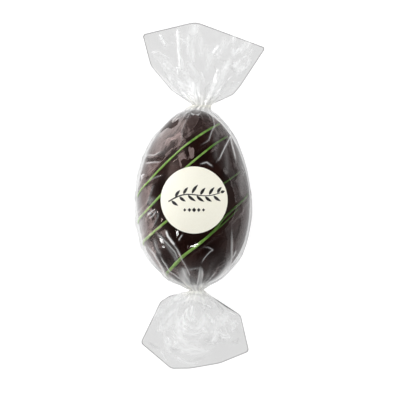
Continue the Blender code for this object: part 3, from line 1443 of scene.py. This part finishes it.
@dataclass
class PrintedSprig:
    """A generic leafy sprig printed across the label, with a row of small lozenges under it."""

    label: PaperLabel
    width: float = 20.6
    tilt: float = 9.0  # degrees
    rise: float = 1.5  # how far its middle lies above the label's middle
    leaves: int = 12
    leaf_length: float = 3.5
    leaf_width: float = 1.0
    leaf_angle: float = 62.0  # degrees from the stem
    end_leaf: float = 1.6
    stem_width: float = 0.5
    row_drop: float = 3.6
    row_step: float = 1.7
    ink_height: float = 0.02

    def stem(self, share: Points) -> Points:
        """Places along the stem, from 0 at its left end to 1 at its tip, before it is tilted."""
        x = (share - 0.5) * self.width * 0.93
        return np.stack([x, 1.15 * np.sin(2.0 * math.pi * (share - 0.08)) * (1.0 - 0.4 * share)], axis=-1)

    def stroke(self, line: Points, half_width: Points) -> tuple[Points, Points]:
        """A printed stroke of changing width.

        Args:
            line: places along its middle.
            half_width: half its width at each of them.

        Returns:
            Points in the plane and faces.
        """
        ahead = unit(np.gradient(line, axis=0))
        aside = np.stack([-ahead[:, 1], ahead[:, 0]], axis=-1) * half_width[:, None]
        points = np.stack([line - aside, line + aside], axis=1).reshape(-1, 2)
        return points, 2 * np.arange(len(line) - 1)[:, None] + [0, 2, 3, 1]

    def leaf(self, root: Points, angle: float, length: float) -> tuple[Points, Points]:
        """One pointed leaf that bends back a little.

        Args:
            root: where it leaves the stem.
            angle: its heading there, in radians.
            length: its length.

        Returns:
            Points in the plane and faces.
        """
        t = np.linspace(0.0, 1.0, 12)
        line = root + length / 11 * np.cumsum(heading(angle * (1.0 - 0.45 * t)), axis=0)
        return self.stroke(line, 0.5 * self.leaf_width * np.sin(math.pi * t**0.8) ** 0.9 + 0.03)

    def build(self, ink: bpy.types.Material) -> bpy.types.Object:
        """Makes the print as one thin layer on the paper.

        Args:
            ink: the print's finish.

        Returns:
            The print's object.
        """
        share = np.linspace(0.0, 1.0, 70)
        sprig = [self.stroke(self.stem(share), 0.5 * self.stem_width * (1.0 - 0.45 * share))]
        for number in range(self.leaves):
            at = 0.06 + 0.88 * number / (self.leaves - 1)
            side = 1.0 if number % 2 else -1.0
            swell = (0.72 + 0.28 * math.sin(math.pi * at)) * (1.0 + 0.12 * math.cos(5.0 * number))
            angle = side * math.radians(self.leaf_angle)
            sprig.append(self.leaf(self.stem(np.array(at)), angle, self.leaf_length * swell))
        sprig.append(self.leaf(self.stem(np.array(1.0)), 0.25, self.end_leaf))
        tilt = math.radians(self.tilt)
        turn = np.array([[math.cos(tilt), math.sin(tilt)], [-math.sin(tilt), math.cos(tilt)]])
        strokes = [(points @ turn + (0.0, self.rise), quads) for points, quads in sprig]
        for number in range(-2, 3):
            half = 0.78 - 0.12 * abs(number)
            t = np.linspace(-1.0, 1.0, 5)
            line = np.stack([self.row_step * number + half * t, np.full(5, -self.row_drop)], axis=-1)
            strokes.append(self.stroke(line, half * 1.1 * (1.0 - np.abs(t)) + 0.02))
        flat = np.concatenate([points for points, _ in strokes]) + self.label.middle
        starts = np.cumsum([0, *(len(points) for points, _ in strokes)])
        faces = np.concatenate([quads + start for (_, quads), start in zip(strokes, starts)])
        height = self.label.height(*flat.T) + self.label.thickness + self.ink_height
        layer = make_object("printed_sprig", np.column_stack([flat, height]), faces, ink)
        return place(layer, "label")


# ----------------------------------------
# The studio


@dataclass(frozen=True)
class Softbox:
    """One soft light: where it stands, how large it is, how bright it looks, and whether gloss mirrors it.

    Its sizes are in metres.
    """

    name: str
    at: tuple[float, float, float]
    size: tuple[float, float]
    radiance: float
    toward: tuple[float, float, float] = (0.0, 0.0, 0.018)  # the egg's axis
    mirrored: bool = True

    def build(self) -> None:
        """Adds the light, pointed at the egg unless it is given another place to face."""
        data = bpy.data.lights.new(self.name, "AREA")
        data.shape = "RECTANGLE"
        data.size, data.size_y = self.size
        data.energy = self.radiance * math.pi * self.size[0] * self.size[1]
        lamp = bpy.data.objects.new(self.name, data)
        lamp.location = self.at
        aim = Vector(self.toward) - lamp.location
        lamp.rotation_euler = aim.to_track_quat("-Z", "Y").to_euler()
        lamp.visible_camera = False
        lamp.visible_glossy = self.mirrored
        bpy.context.scene.collection.objects.link(lamp)


@dataclass
class Studio:
    """A pale light table, soft lights round it and a camera straight above.

    Its sizes are in metres, apart from those whose names end in mm.
    """

    middle: tuple[float, float]
    aim_height: float
    view_width: float
    camera_height: float = 1.5
    sensor_mm: float = 36.0
    table_reach_mm: float = 30000.0
    table_drop_mm: float = 0.05  # keeps the table clear of the film that lies on it
    acrylic: tuple[str, str] = ("#787878", "#7E7E7E")
    acrylic_grain_mm: float = 2.5
    table_glow: tuple[float, float] = (0.90, 0.12)  # under the egg, and past the field that is lit for it
    lit_field: tuple[float, float] = (0.115, 0.24)
    far_glow: float = 0.62
    far_field: tuple[float, float] = (0.30, 1.0)
    horizon: str = "#DADADA"
    zenith: str = "#242424"
    softboxes: tuple[Softbox, ...] = (
        Softbox("lightpad_left", (-0.135, 0.03, 0.001), (0.30, 0.12), 0.8, (-0.135, 0.03, 1.0)),
        Softbox("card_left", (-0.115, 0.020, 0.022), (0.26, 0.040), 1.6),
        Softbox("card_far_left", (-0.085, 0.155, 0.022), (0.13, 0.040), 1.6),
        Softbox("window_upper_left", (-0.150, 0.260, 0.140), (0.14, 0.28), 2.8),
        Softbox("window_left", (-0.272, -0.127, 0.115), (0.14, 0.23), 2.25),
        Softbox("softbox_high_left", (-0.42, 0.25, 0.50), (0.15, 0.15), 22.0),
        Softbox("strip_right", (0.60, 0.05, 0.26), (0.40, 0.16), 1.1),
        Softbox("fill_right", (0.48, -0.05, 0.36), (0.30, 0.30), 4.9, mirrored=False),
        Softbox("scrim", (0.10, 0.0, 1.15), (1.3, 1.3), 0.80, mirrored=False),
    )

    def table(self) -> None:
        """Adds a wide pale table, lit from below round the egg so that shadows there stay faint."""
        material = new_material("opal_acrylic")
        where = add_node(material, "TexCoord").outputs["Object"]
        grain = add_node(material, "TexNoise", Vector=where, Scale=1.0 / (self.acrylic_grain_mm * MM))
        tone = add_node(material, "ValToRGB", stops=list(zip((0.3, 0.7), self.acrylic)), Fac=grain)
        away = add_node(material, "VectorMath", {"operation": "LENGTH"}, (where,)).outputs["Value"]
        glows = [
            add_node(
                material,
                "MapRange",
                {"interpolation_type": "SMOOTHSTEP"},
                Value=away,
                From_Min=field[0],
                From_Max=field[1],
                To_Min=glow[0],
                To_Max=glow[1],
            )
            for field, glow in ((self.lit_field, self.table_glow), (self.far_field, (0.0, self.far_glow)))
        ]
        shader = add_node(
            material,
            "BsdfPrincipled",
            Base_Color=tone,
            Roughness=0.9,
            Specular_IOR_Level=0.2,
            Emission_Color=linear("#FFFFFF"),
            Emission_Strength=add_node(material, "Math", {"operation": "MAXIMUM"}, glows),
        )
        finish_material(material, shader)
        reach, low = self.table_reach_mm, -self.table_drop_mm
        corners = [(-reach, -reach, low), (reach, -reach, low), (reach, reach, low), (-reach, reach, low)]
        make_object("table", corners, [[0, 1, 2, 3]], material)

    def room(self) -> None:
        """Sets a room that is pale at the height of the table and dark overhead."""
        world = bpy.data.worlds.new("studio_room")
        world.use_nodes = True
        world.node_tree.nodes.clear()
        bpy.context.scene.world = world
        where = add_node(world, "TexCoord").outputs["Generated"]
        height = add_node(world, "SeparateXYZ", Vector=where).outputs["Z"]
        shade = add_node(world, "ValToRGB", stops=[(0.10, self.horizon), (0.55, self.zenith)], Fac=height)
        add_node(world, "OutputWorld", Surface=add_node(world, "Background", Color=shade))

    def camera(self) -> None:
        """Adds the camera, straight above the egg."""
        data = bpy.data.cameras.new("camera")
        data.sensor_width = self.sensor_mm
        data.lens = self.sensor_mm * (self.camera_height - self.aim_height) / self.view_width
        data.clip_start, data.clip_end = 0.05, 100.0
        camera = bpy.data.objects.new("camera", data)
        camera.location = (*self.middle, self.camera_height)
        bpy.context.scene.collection.objects.link(camera)
        bpy.context.scene.camera = camera

    def build(self) -> None:
        """Sets up table, room, lights and camera."""
        self.table()
        self.room()
        for box in self.softboxes:
            box.build()
        self.camera()
        bpy.context.scene.view_settings.view_transform = "Standard"
        bpy.context.scene.cycles.transparent_max_bounces = 32


# ----------------------------------------
# The whole


WRAPPED_HEIGHT = 37.4  # from the table to the film over the egg
FOOT_CUT = 1.0  # how much of the egg's round underside its flat foot takes away
FACET_ROOM = 0.55  # room for the film's own facets
SIDE_ROOM = 0.5  # between the egg and the outside of the film, at its sides
TOP_ROOM = 1.1  # and over it
LABEL_OFF = (0.25, -0.31)  # the sticker was put on a little off its solid's middle
LABEL_TRIM = 0.31  # how much smaller its radius is than its solid's

TOP_FAN = Fan(
    name="film_top_fan",
    neck=(3.1, 34.9),
    radius=3.1,
    rim=(
        (14.4, 38.5), (17.2, 41.9), (26.4, 55.9), (1.7, 65.2), (-0.5, 65.2),
        (-18.7, 60.8), (-15.7, 49.4), (-7.9, 40.1),
    ),
    lift=(0.8, -1.5),
    wave_height=0.9,
    waves=2,
    seed=21,
    milk=(0.95, 1.8, 1.5, 0.12, 7.0),
    rays=16,
    arcs=7,
    creases=(
        Crease(((-5.8, 63.6), (-5.4, 56.0), (-4.7, 46.5)), 0.5, 0.95, (0.9, 0.7), (0.1, 0.15), 0.6),
        Crease(((-4.0, 53.0), (-4.3, 47.5)), 0.3, 0.8, fades=(0.3, 0.2), spread=0.6),
        Crease(((0.6, 64.6), (0.3, 59.5)), 0.2, 0.7, (2.0, 2.0), (0.1, 0.5), 1.4),
        Crease(((-5.9, 49.3), (-5.6, 45.1)), 0.4, 0.7, (0.7, 0.7), spread=0.32),
        Crease(((-12.2, 61.4), (-11.6, 59.0), (-10.9, 58.4), (-9.8, 55.8)), 0.4, 0.85, spread=0.5),
        Crease(
            ((-16.0, 54.0), (-12.5, 54.4), (-10.1, 52.8), (-6.6, 51.1)),
            0.3, 0.4, (0.9, 0.9), (0.2, 0.4), 0.32,
        ),
        Crease(((-1.7, 61.4), (-1.7, 57.0), (-3.1, 55.5)), 0.3, 0.35, (0.9, 0.9), spread=0.32),
        Crease(((6.8, 53.3), (9.9, 57.0)), 0.35, 0.5, fades=(0.3, 0.2), spread=0.32),
        Crease(((9.2, 48.2), (9.1, 42.6)), 0.35, 0.45, fades=(0.2, 0.4), spread=0.32),
        Crease(((10.5, 41.5), (9.0, 39.0), (6.8, 37.5)), 0.35, 0.5, spread=0.32),
        Crease(((0.0, 42.3), (-0.2, 38.0)), 0.35, 0.6, fades=(0.3, 0.2), spread=0.32),
        Crease(((2.8, 47.4), (3.9, 44.0)), 0.3, 0.5, spread=0.32),
    ),
    patches=(CrushedPatch((14.5, 51.5), 9.0, 0.09), CrushedPatch((0.0, 62.5), 5.0, 0.05)),
    rubbed_and_sheen=(
        RubbedAndSheenPlace((1.0, 50.0), 14.0, 18, Grain.OUT, 11.0, 0.95, 0.36, 2),
        RubbedAndSheenPlace((14.0, 53.5), 7.0, 24, Grain.OUT, 3.6, 0.6, 0.7, 5),
        RubbedAndSheenPlace((3.5, 40.5), 6.0, 10, Grain.OUT, 5.0, 0.8, 0.32, 8),
    ),
)
BOTTOM_FAN = Fan(
    name="film_bottom_fan",
    neck=(1.2, -33.4),
    radius=2.6,
    rim=(
        (11.6, -38.9), (17.3, -42.3), (20.4, -55.7), (9.7, -60.0), (-1.3, -61.9),
        (-8.2, -62.0), (-19.4, -52.5), (-12.1, -37.3), (-8.4, -35.0),
    ),
    lift=(-2.0, 2.0),
    wave_height=0.8,
    waves=2,
    seed=34,
    milk=(0.5, 4.0, 1.4, 0.32, 13.0),
    rays=14,
    arcs=16,
    creases=(
        Crease(((-0.2, -37.9), (-0.4, -43.0), (1.2, -44.7)), 0.4, 0.95, (0.9, 0.9), (0.2, 0.2), 0.55),
        Crease(((-2.2, -39.5), (-2.4, -42.5), (-0.6, -45.6)), 0.4, 0.75),
        Crease(((-4.0, -41.5), (-3.1, -45.2), (0.6, -48.2)), 0.4, 0.9),
        Crease(((-5.9, -42.3), (-5.0, -46.0), (-1.3, -48.9)), 0.4, 0.85),
        Crease(((4.5, -41.5), (6.1, -43.4), (7.5, -46.6)), 0.4, 0.85, spread=0.5),
        Crease(((7.9, -47.1), (8.5, -49.6), (6.7, -52.6)), 0.4, 0.95, (0.9, 0.9), spread=0.6),
        Crease(((3.0, -47.4), (4.9, -48.9)), 0.5, 0.95, (1.0, 1.0), (0.3, 0.3), 0.7),
        Crease(((2.8, -38.0), (5.7, -39.0), (7.2, -40.3)), 0.4, 0.6, spread=0.32),
        Crease(((10.2, -41.8), (11.4, -42.8)), 0.3, 0.8, fades=(0.3, 0.3), spread=0.6),
        Crease(((15.3, -44.5), (16.4, -46.0)), 0.35, 0.8, fades=(0.3, 0.3), spread=0.5),
        Crease(((-9.4, -50.3), (-8.0, -53.3)), 0.35, 0.8),
        Crease(((-7.2, -51.5), (-5.7, -53.9)), 0.35, 0.8),
        Crease(((-12.3, -44.1), (-11.7, -46.6)), 0.3, 0.6, fades=(0.3, 0.3)),
        Crease(((-6.2, -56.1), (-1.3, -54.8), (7.2, -55.5)), 0.2, 0.5),
        Crease(((-12.3, -55.1), (-9.4, -59.9)), 0.2, 0.5),
    ),
    patches=(CrushedPatch((2.5, -44.0), 8.0, 0.07), CrushedPatch((11.0, -48.0), 5.0, 0.05)),
    rubbed_and_sheen=(
        RubbedAndSheenPlace((-0.5, -42.5), 9.5, 24, Grain.ROUND, 9.0, 0.55, 1.0, 3),
        RubbedAndSheenPlace((1.0, -47.0), 14.0, 14, Grain.ROUND, 13.0, 0.8, 0.65, 6),
        RubbedAndSheenPlace((-10.5, -47.0), 6.5, 9, Grain.OUT, 6.0, 0.75, 0.75, 9),
        RubbedAndSheenPlace((12.5, -46.0), 5.5, 10, Grain.ROUND, 4.0, 0.6, 0.95, 12),
    ),
)
EGG_CREASES = (
    # over the narrower end
    Crease(
        ((-0.9, 31.6), (-3.2, 26.9), (-4.0, 24.6), (-3.9, 22.4), (-4.5, 19.5)),
        0.25, 0.12, (2.0, 0.5), (0.1, 0.2), 0.22,
    ),
    Crease(((-1.3, 31.8), (-0.2, 30.9), (1.3, 30.3), (2.6, 32.0)), 0.2, 0.4, (0.5, 0.5), spread=0.25),
    Crease(
        ((5.3, 33.1), (6.8, 29.0), (7.0, 26.1), (5.3, 21.3), (1.7, 19.1)),
        0.25, 0.3, (0.6, 0.6), (0.1, 0.4), 0.24,
    ),
    Crease(((5.9, 32.7), (9.6, 29.8), (11.8, 26.7), (12.9, 22.2)), 0.4, 0.6, (0.7, 0.8), (0.1, 0.1), 0.3),
    Crease(((12.7, 22.8), (9.3, 15.1), (7.5, 12.9)), 0.25, 0.5, (0.5, 0.5), (0.05, 0.4), 0.24),
    Crease(((12.6, 22.8), (13.8, 18.4), (15.4, 12.5)), 0.3, 0.6, (0.6, 0.6), (0.05, 0.4), 0.24),
    Crease(((2.0, 12.9), (4.6, 13.4), (7.2, 11.8)), 0.15, 0.5, (0.4, 0.4), (0.3, 0.3), 0.22),
    # left of the label
    Crease(
        ((-16.6, 16.0), (-13.8, 16.2), (-11.8, 17.3), (-10.8, 17.8)), 0.3, 0.3, (1.0, 0.5), (0.2, 0.4), 0.28
    ),
    Crease(((-16.9, 13.0), (-14.9, 13.5), (-10.9, 13.8)), 0.25, 0.35, (0.5, 1.2), (0.1, 0.4), 0.25),
    Crease(((-17.5, 7.0), (-17.8, 8.5), (-16.7, 9.4)), 0.2, 0.6, (0.4, 0.4), (0.2, 0.2), 0.24),
    Crease(((-16.0, 6.6), (-13.4, 8.1), (-10.5, 9.2)), 0.2, 0.2, (0.5, 0.5), (0.2, 0.4), 0.24),
    Crease(((-14.0, 5.9), (-14.9, 2.2), (-16.4, -2.2)), 0.3, 0.15, (0.5, 1.5), spread=0.24),
    Crease(((-16.4, -6.2), (-14.9, -4.4), (-13.0, -3.1)), 0.2, 0.5, (0.4, 0.4), (0.3, 0.3), 0.22),
    Crease(((-15.8, -7.0), (-14.2, -5.7), (-12.7, -3.5)), 0.2, 0.45, (0.4, 0.4), (0.3, 0.3), 0.22),
    Crease(((-15.8, -4.0), (-15.3, -5.0), (-14.2, -4.8)), 0.2, 0.45, (0.4, 0.4), (0.3, 0.3), 0.22),
    Crease(((-12.5, -3.7), (-12.5, -6.2), (-14.2, -10.2)), 0.3, 0.18, (0.5, 1.5), spread=0.24),
    # from the lower neck, up the left side
    Crease(
        ((-3.9, -32.7), (-8.2, -28.6), (-10.6, -24.6), (-13.6, -19.2), (-17.1, -15.2)),
        0.45, 0.6, (0.8, 1.0), (0.1, 0.3), 0.3,
    ),
    Crease(
        ((-4.2, -28.9), (-8.2, -25.2), (-10.6, -21.9), (-12.2, -18.9)),
        0.35, 0.5, (0.6, 0.6), (0.1, 0.3), 0.24,
    ),
    Crease(((-11.2, -19.9), (-12.5, -18.0), (-13.2, -15.8), (-13.6, -13.2)), 0.2, 0.25),
    Crease(
        ((-5.1, -21.7), (-6.4, -18.6), (-9.4, -15.1), (-13.4, -11.2)),
        0.35, 0.35, (0.7, 0.5), (0.15, 0.25), 0.28,
    ),
    Crease(((-4.6, -20.2), (-5.9, -17.3), (-8.9, -13.4)), 0.35, 0.35, (0.5, 0.7), (0.15, 0.3), 0.28),
    Crease(
        ((-5.3, -22.8), (-6.8, -19.8), (-9.4, -16.0), (-13.0, -11.4)),
        0.2, 0.15, fades=(0.15, 0.2), spread=0.65,
    ),
    Crease(
        ((-6.4, -16.2), (-7.5, -14.9), (-9.0, -12.9), (-9.7, -10.7)),
        0.2, 0.9, (0.4, 0.4), (0.15, 0.15), 0.3,
    ),
    Crease(((-3.7, -12.2), (-4.9, -13.9), (-5.0, -14.9)), 0.15, 0.5, (0.4, 0.4), (0.3, 0.3), 0.22),
    Crease(
        ((-0.8, -27.6), (-3.5, -21.9), (-4.9, -18.9), (-6.4, -16.2)),
        0.4, 0.35, (0.8, 0.6), (0.1, 0.3), 0.25,
    ),
    # the middle and right of the lower neck
    Crease(
        ((2.6, -23.2), (3.8, -20.9), (5.8, -18.6), (6.8, -17.9), (5.5, -17.1), (2.5, -16.5)),
        0.12, 0.32, (0.4, 0.4), (0.2, 0.4), 0.22,
    ),
    Crease(((1.2, -31.2), (1.8, -27.2), (2.6, -23.2)), 0.5, 0.4, (0.8, 0.6), (0.1, 0.3), 0.25),
    Crease(((2.9, -30.9), (3.1, -27.2), (2.8, -23.5)), 0.5, 0.45, (0.6, 0.8), (0.1, 0.3), 0.25),
    Crease(((-2.2, -25.2), (0.2, -24.6), (2.8, -24.4)), 0.15, 0.15, fades=(0.3, 0.3), spread=0.4),
    Crease(
        ((4.2, -30.6), (7.8, -28.6), (12.2, -24.6), (13.2, -20.5), (13.2, -15.2), (13.3, -8.2)),
        0.4, 0.42, (0.6, 0.7), (0.1, 0.35), 0.3,
    ),
    Crease(((13.5, -20.8), (14.9, -17.6)), 0.25, 0.5, (0.5, 0.5), (0.3, 0.3), 0.24),
    Crease(
        ((4.6, -31.2), (10.5, -26.7), (15.6, -21.3), (18.2, -14.7)), 0.2, 0.35, fades=(0.1, 0.4), spread=0.4
    ),
    Crease(((5.7, -31.8), (12.7, -27.2), (17.1, -22.8)), 0.4, 0.35, fades=(0.1, 0.4), spread=0.4),
    Crease(((3.9, -30.5), (6.4, -27.2), (8.3, -24.6)), 0.4, 0.35, (0.6, 0.6), (0.1, 0.4), 0.25),
    Crease(((-0.9, -30.5), (-2.8, -27.2), (-4.2, -23.5)), 0.4, 0.4, (0.8, 0.6), (0.1, 0.4), 0.3),
)
EGG_BANDS_AND_SHEENS = (  # broad folds that make the film hazier over a wide strip; those of no height are only painted sheen
    Crease(
        ((5.2, -32.4), (12.7, -28.2), (17.1, -22.8), (19.6, -15.0)), 0.2, 0.26, (2.0, 2.0), (0.05, 0.4), 1.5
    ),
    Crease(
        ((-2.6, -32.8), (-8.3, -28.6), (-12.6, -23.9), (-17.0, -17.0)),
        0.1, 0.28, (2.0, 2.0), (0.05, 0.4), 1.4,
    ),
    Crease(((-1.4, -33.4), (-2.9, -28.7), (-3.5, -23.2)), 0.5, 0.45, (1.8, 1.6), (0.05, 0.25), 1.5),
    Crease(((2.8, -33.1), (2.3, -29.4), (2.8, -24.0)), 0.5, 0.4, (1.4, 1.0), (0.05, 0.3), 0.8),
    Crease(
        ((3.3, -32.4), (8.6, -27.8), (11.9, -23.5), (13.0, -18.0)), 0.3, 0.45, (1.2, 1.2), (0.05, 0.4), 0.8
    ),
    Crease(((-2.4, -32.2), (-6.8, -28.6), (-9.6, -24.6)), 0.3, 0.14, (1.2, 1.2), (0.05, 0.4), 0.7),
    Crease(((6.2, 33.0), (11.4, 28.4), (15.4, 20.5)), 0.2, 0.15, (1.5, 1.5), (0.05, 0.5), 1.0),
    Crease(((0.4, 33.6), (-8.6, 28.0), (-15.0, 19.5)), 0.2, 0.18, (1.5, 1.5), (0.05, 0.5), 1.1),
    # painted sheen: whiteness with no fold under it, where the film would mirror the lights, along the left
    # rim, over the upper left and in bands on the right
    Crease(
        ((-18.9, 0.5), (-18.4, -9.0), (-17.0, -15.5), (-12.8, -23.0)),
        0.0, 0.17, fades=(0.3, 0.15), spread=1.8,
    ),
    Crease(((-14.2, 1.8), (-15.2, -2.6)), 0.0, 0.14, fades=(0.4, 0.4), spread=1.2),
    Crease(((-3.5, 29.5), (-9.0, 24.5), (-14.0, 16.0)), 0.0, 0.08, fades=(0.15, 0.15), spread=3.0),
    Crease(((7.6, 30.5), (8.0, 24.0), (8.0, 13.5)), 0.0, 0.05, fades=(0.1, 0.15), spread=0.9),
    Crease(((11.2, 21.0), (11.8, 14.5), (12.0, 8.0)), 0.0, 0.06, fades=(0.1, 0.2), spread=0.7),
    Crease(((16.2, 19.0), (17.0, 10.0), (17.0, -2.0)), 0.0, 0.09, spread=0.9),
)
UPPER_WINDOW = (34.0, 121.0)  # lean and facing that mirror the window at the upper left
HIGH_SOFTBOX = (23.0, 147.0)
EGG_FACETS = (
    Facet(
        (
            (-6.0, 16.4), (-4.2, 18.3), (-3.4, 17.6), (-2.5, 15.0), (-4.0, 14.6), (-4.6, 13.9),
            (-3.9, 12.5), (-4.6, 12.1), (-5.3, 13.9),
        ),
        *UPPER_WINDOW, 0.35, 1.0,
    ),
    Facet(
        ((-2.0, 19.6), (0.4, 18.7), (0.4, 15.9), (-0.7, 14.6), (-1.3, 15.0), (-1.7, 17.3)),
        *UPPER_WINDOW, 0.35, 1.0,
    ),
    Facet(
        ((-1.3, 30.0), (0.6, 31.4), (2.0, 30.7), (1.7, 29.0), (0.2, 26.5), (-1.1, 25.7), (-2.4, 26.8)),
        42.0, 96.0, 0.1, 1.0,
    ),
    Facet(((-12.7, -13.7), (-11.7, -13.7), (-10.4, -15.5), (-11.4, -16.4), (-12.2, -15.2)), *HIGH_SOFTBOX),
    Facet(((-11.4, -16.5), (-9.7, -17.2), (-11.6, -17.9)), *HIGH_SOFTBOX),
    Facet(
        ((-2.2, -16.7), (-0.2, -16.2), (1.8, -15.2), (2.0, -16.1), (0.5, -17.4), (-0.8, -17.2)),
        *HIGH_SOFTBOX,
    ),
    Facet(((-6.7, -10.6), (-5.0, -11.4), (-5.8, -13.7), (-6.4, -11.9)), *HIGH_SOFTBOX),
)
# Painted shade: places on the film that are made to mirror less, so that they show dark; a later place
# overrides an earlier one.
EGG_PAINTED_DARK = (
    PaintedDarkPlace(
        (
            (-0.7, 32.2), (-3.2, 26.9), (-4.1, 24.6), (-3.9, 22.4), (-4.5, 19.5), (-5.2, 19.5),
            (-5.4, 21.5), (-5.9, 22.1), (-6.7, 21.1), (-7.2, 18.6), (-8.1, 17.5), (-9.0, 16.2),
            (-8.3, 14.3), (-7.5, 11.4), (-5.7, 11.0), (-3.9, 12.5), (-1.3, 13.6), (2.4, 13.8), (5.7, 12.5),
            (6.8, 14.7), (5.7, 18.4), (6.8, 22.1), (5.0, 25.7), (2.8, 28.7), (3.5, 31.6), (1.3, 32.7),
        ),
        0.55,
    ),
    PaintedDarkPlace(
        (
            (-1.1, 30.1), (0.6, 31.8), (2.2, 30.9), (1.8, 29.0), (0.2, 26.5), (-0.9, 25.0), (-0.6, 22.6),
            (-1.5, 21.9), (-2.6, 23.5), (-3.3, 25.4), (-2.6, 27.6),
        ),
        0.0,
    ),
    PaintedDarkPlace(
        (
            (-16.7, 14.9), (-12.9, 15.6), (-11.8, 16.7), (-10.9, 17.3), (-10.2, 16.8), (-9.8, 15.6),
            (-10.1, 14.7), (-10.9, 14.0), (-15.2, 13.7), (-16.6, 14.0),
        ),
        0.85,
    ),
    PaintedDarkPlace(
        (
            (-7.9, 17.5), (-12.3, 12.5), (-16.0, 7.7), (-16.4, 5.9), (-13.4, 7.4), (-10.1, 8.8),
            (-8.6, 11.8), (-5.7, 14.3), (-6.2, 16.4),
        ),
        0.3,
    ),
    PaintedDarkPlace(
        ((-14.2, 5.5), (-11.6, 7.4), (-11.4, 3.7), (-12.3, 0.7), (-13.0, -2.6), (-16.2, -2.2)), 0.9
    ),
    PaintedDarkPlace(
        ((-12.5, -6.2), (-11.9, -4.4), (-10.8, -7.0), (-9.9, -7.7), (-13.8, -10.8), (-14.2, -10.2)), 0.6
    ),
    PaintedDarkPlace(
        (
            (-15.3, -13.6), (-13.4, -11.4), (-10.1, -13.2), (-6.8, -16.9), (-5.3, -20.6), (-6.1, -23.2),
            (-8.6, -25.4), (-11.2, -22.4), (-13.0, -18.7),
        ),
        0.8,
    ),
    PaintedDarkPlace(
        (
            (-3.9, -14.0), (2.4, -13.2), (10.5, -9.2), (11.9, -14.7), (10.5, -22.8), (4.2, -26.5),
            (-1.3, -25.0), (-2.8, -21.3),
        ),
        0.65,
    ),
    PaintedDarkPlace(((-9.6, 15.4), (-6.4, 16.2), (-5.4, 12.8), (-5.6, 10.6), (-9.4, 9.6)), 0.9),
)
EGG_PATCHES = (
    CrushedPatch((-11.3, -14.8), 2.6, 0.45),
    CrushedPatch((-14.0, -4.6), 3.0, 0.35),
    CrushedPatch((-17.6, 8.4), 2.2, 0.4),
    CrushedPatch((5.6, 13.6), 2.2, 0.25),
    CrushedPatch((-17.2, 15.2), 1.6, 0.4),
    CrushedPatch((0.3, -16.2), 2.4, 0.35),
    CrushedPatch((1.5, -25.0), 3.6, 0.2),
    CrushedPatch((4.0, 29.5), 2.8, 0.18),
)


def main() -> None:
    """Builds every piece over the frame and reports each one."""
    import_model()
    wrapper_low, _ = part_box("wrapper")
    label_low, label_high = (np.array(corner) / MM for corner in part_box("label"))
    half_width = -float(wrapper_low[0]) / MM
    half_height = (WRAPPED_HEIGHT + FOOT_CUT) / 2
    axis_height = half_height - FOOT_CUT
    film_form = Ovoid(
        half_width=half_width - FACET_ROOM,
        half_height=half_height - FACET_ROOM,
        top_tip=35.2,
        bottom_tip=-33.0,
        bluntness=0.56,
        lower_swell=0.11,
        axis_height=axis_height,
    )
    egg_form = Ovoid(
        half_width=half_width - SIDE_ROOM,
        half_height=half_height - TOP_ROOM,
        top_tip=33.3,
        bottom_tip=-31.2,
        bluntness=0.52,
        lower_swell=0.095,
        axis_height=axis_height,
    )
    label_middle = tuple(float(c) for c in ((label_low + label_high) / 2)[:2] + LABEL_OFF)
    label_radius = float(label_high[0] - label_low[0]) / 2 - LABEL_TRIM

    Studio(middle=(2.39 * MM, 0.0), aim_height=axis_height * MM, view_width=147.06 * MM).build()
    egg = CoatedEgg(egg_form)
    egg.build(DarkCouverture().make())
    drizzle = IcingDrizzle(egg)
    drizzle.build(ColouredIcing().make())
    wrapper = FilmWrapper(
        form=film_form,
        top=TOP_FAN,
        bottom=BOTTOM_FAN,
        label_middle=label_middle,
        label_radius=label_radius,
        creases=(*EGG_CREASES, *EGG_BANDS_AND_SHEENS),
        patches=EGG_PATCHES,
        facets=EGG_FACETS,
        painted_dark=EGG_PAINTED_DARK,
        beads=drizzle.middles(),
    )
    wrapper.build(CastFilm().make())
    label = PaperLabel(label_middle, label_radius, film_form.top)
    label.build(CoatedPaper().make())
    PrintedSprig(label).build(PrintInk().make())


if __name__ == "__main__":
    main()
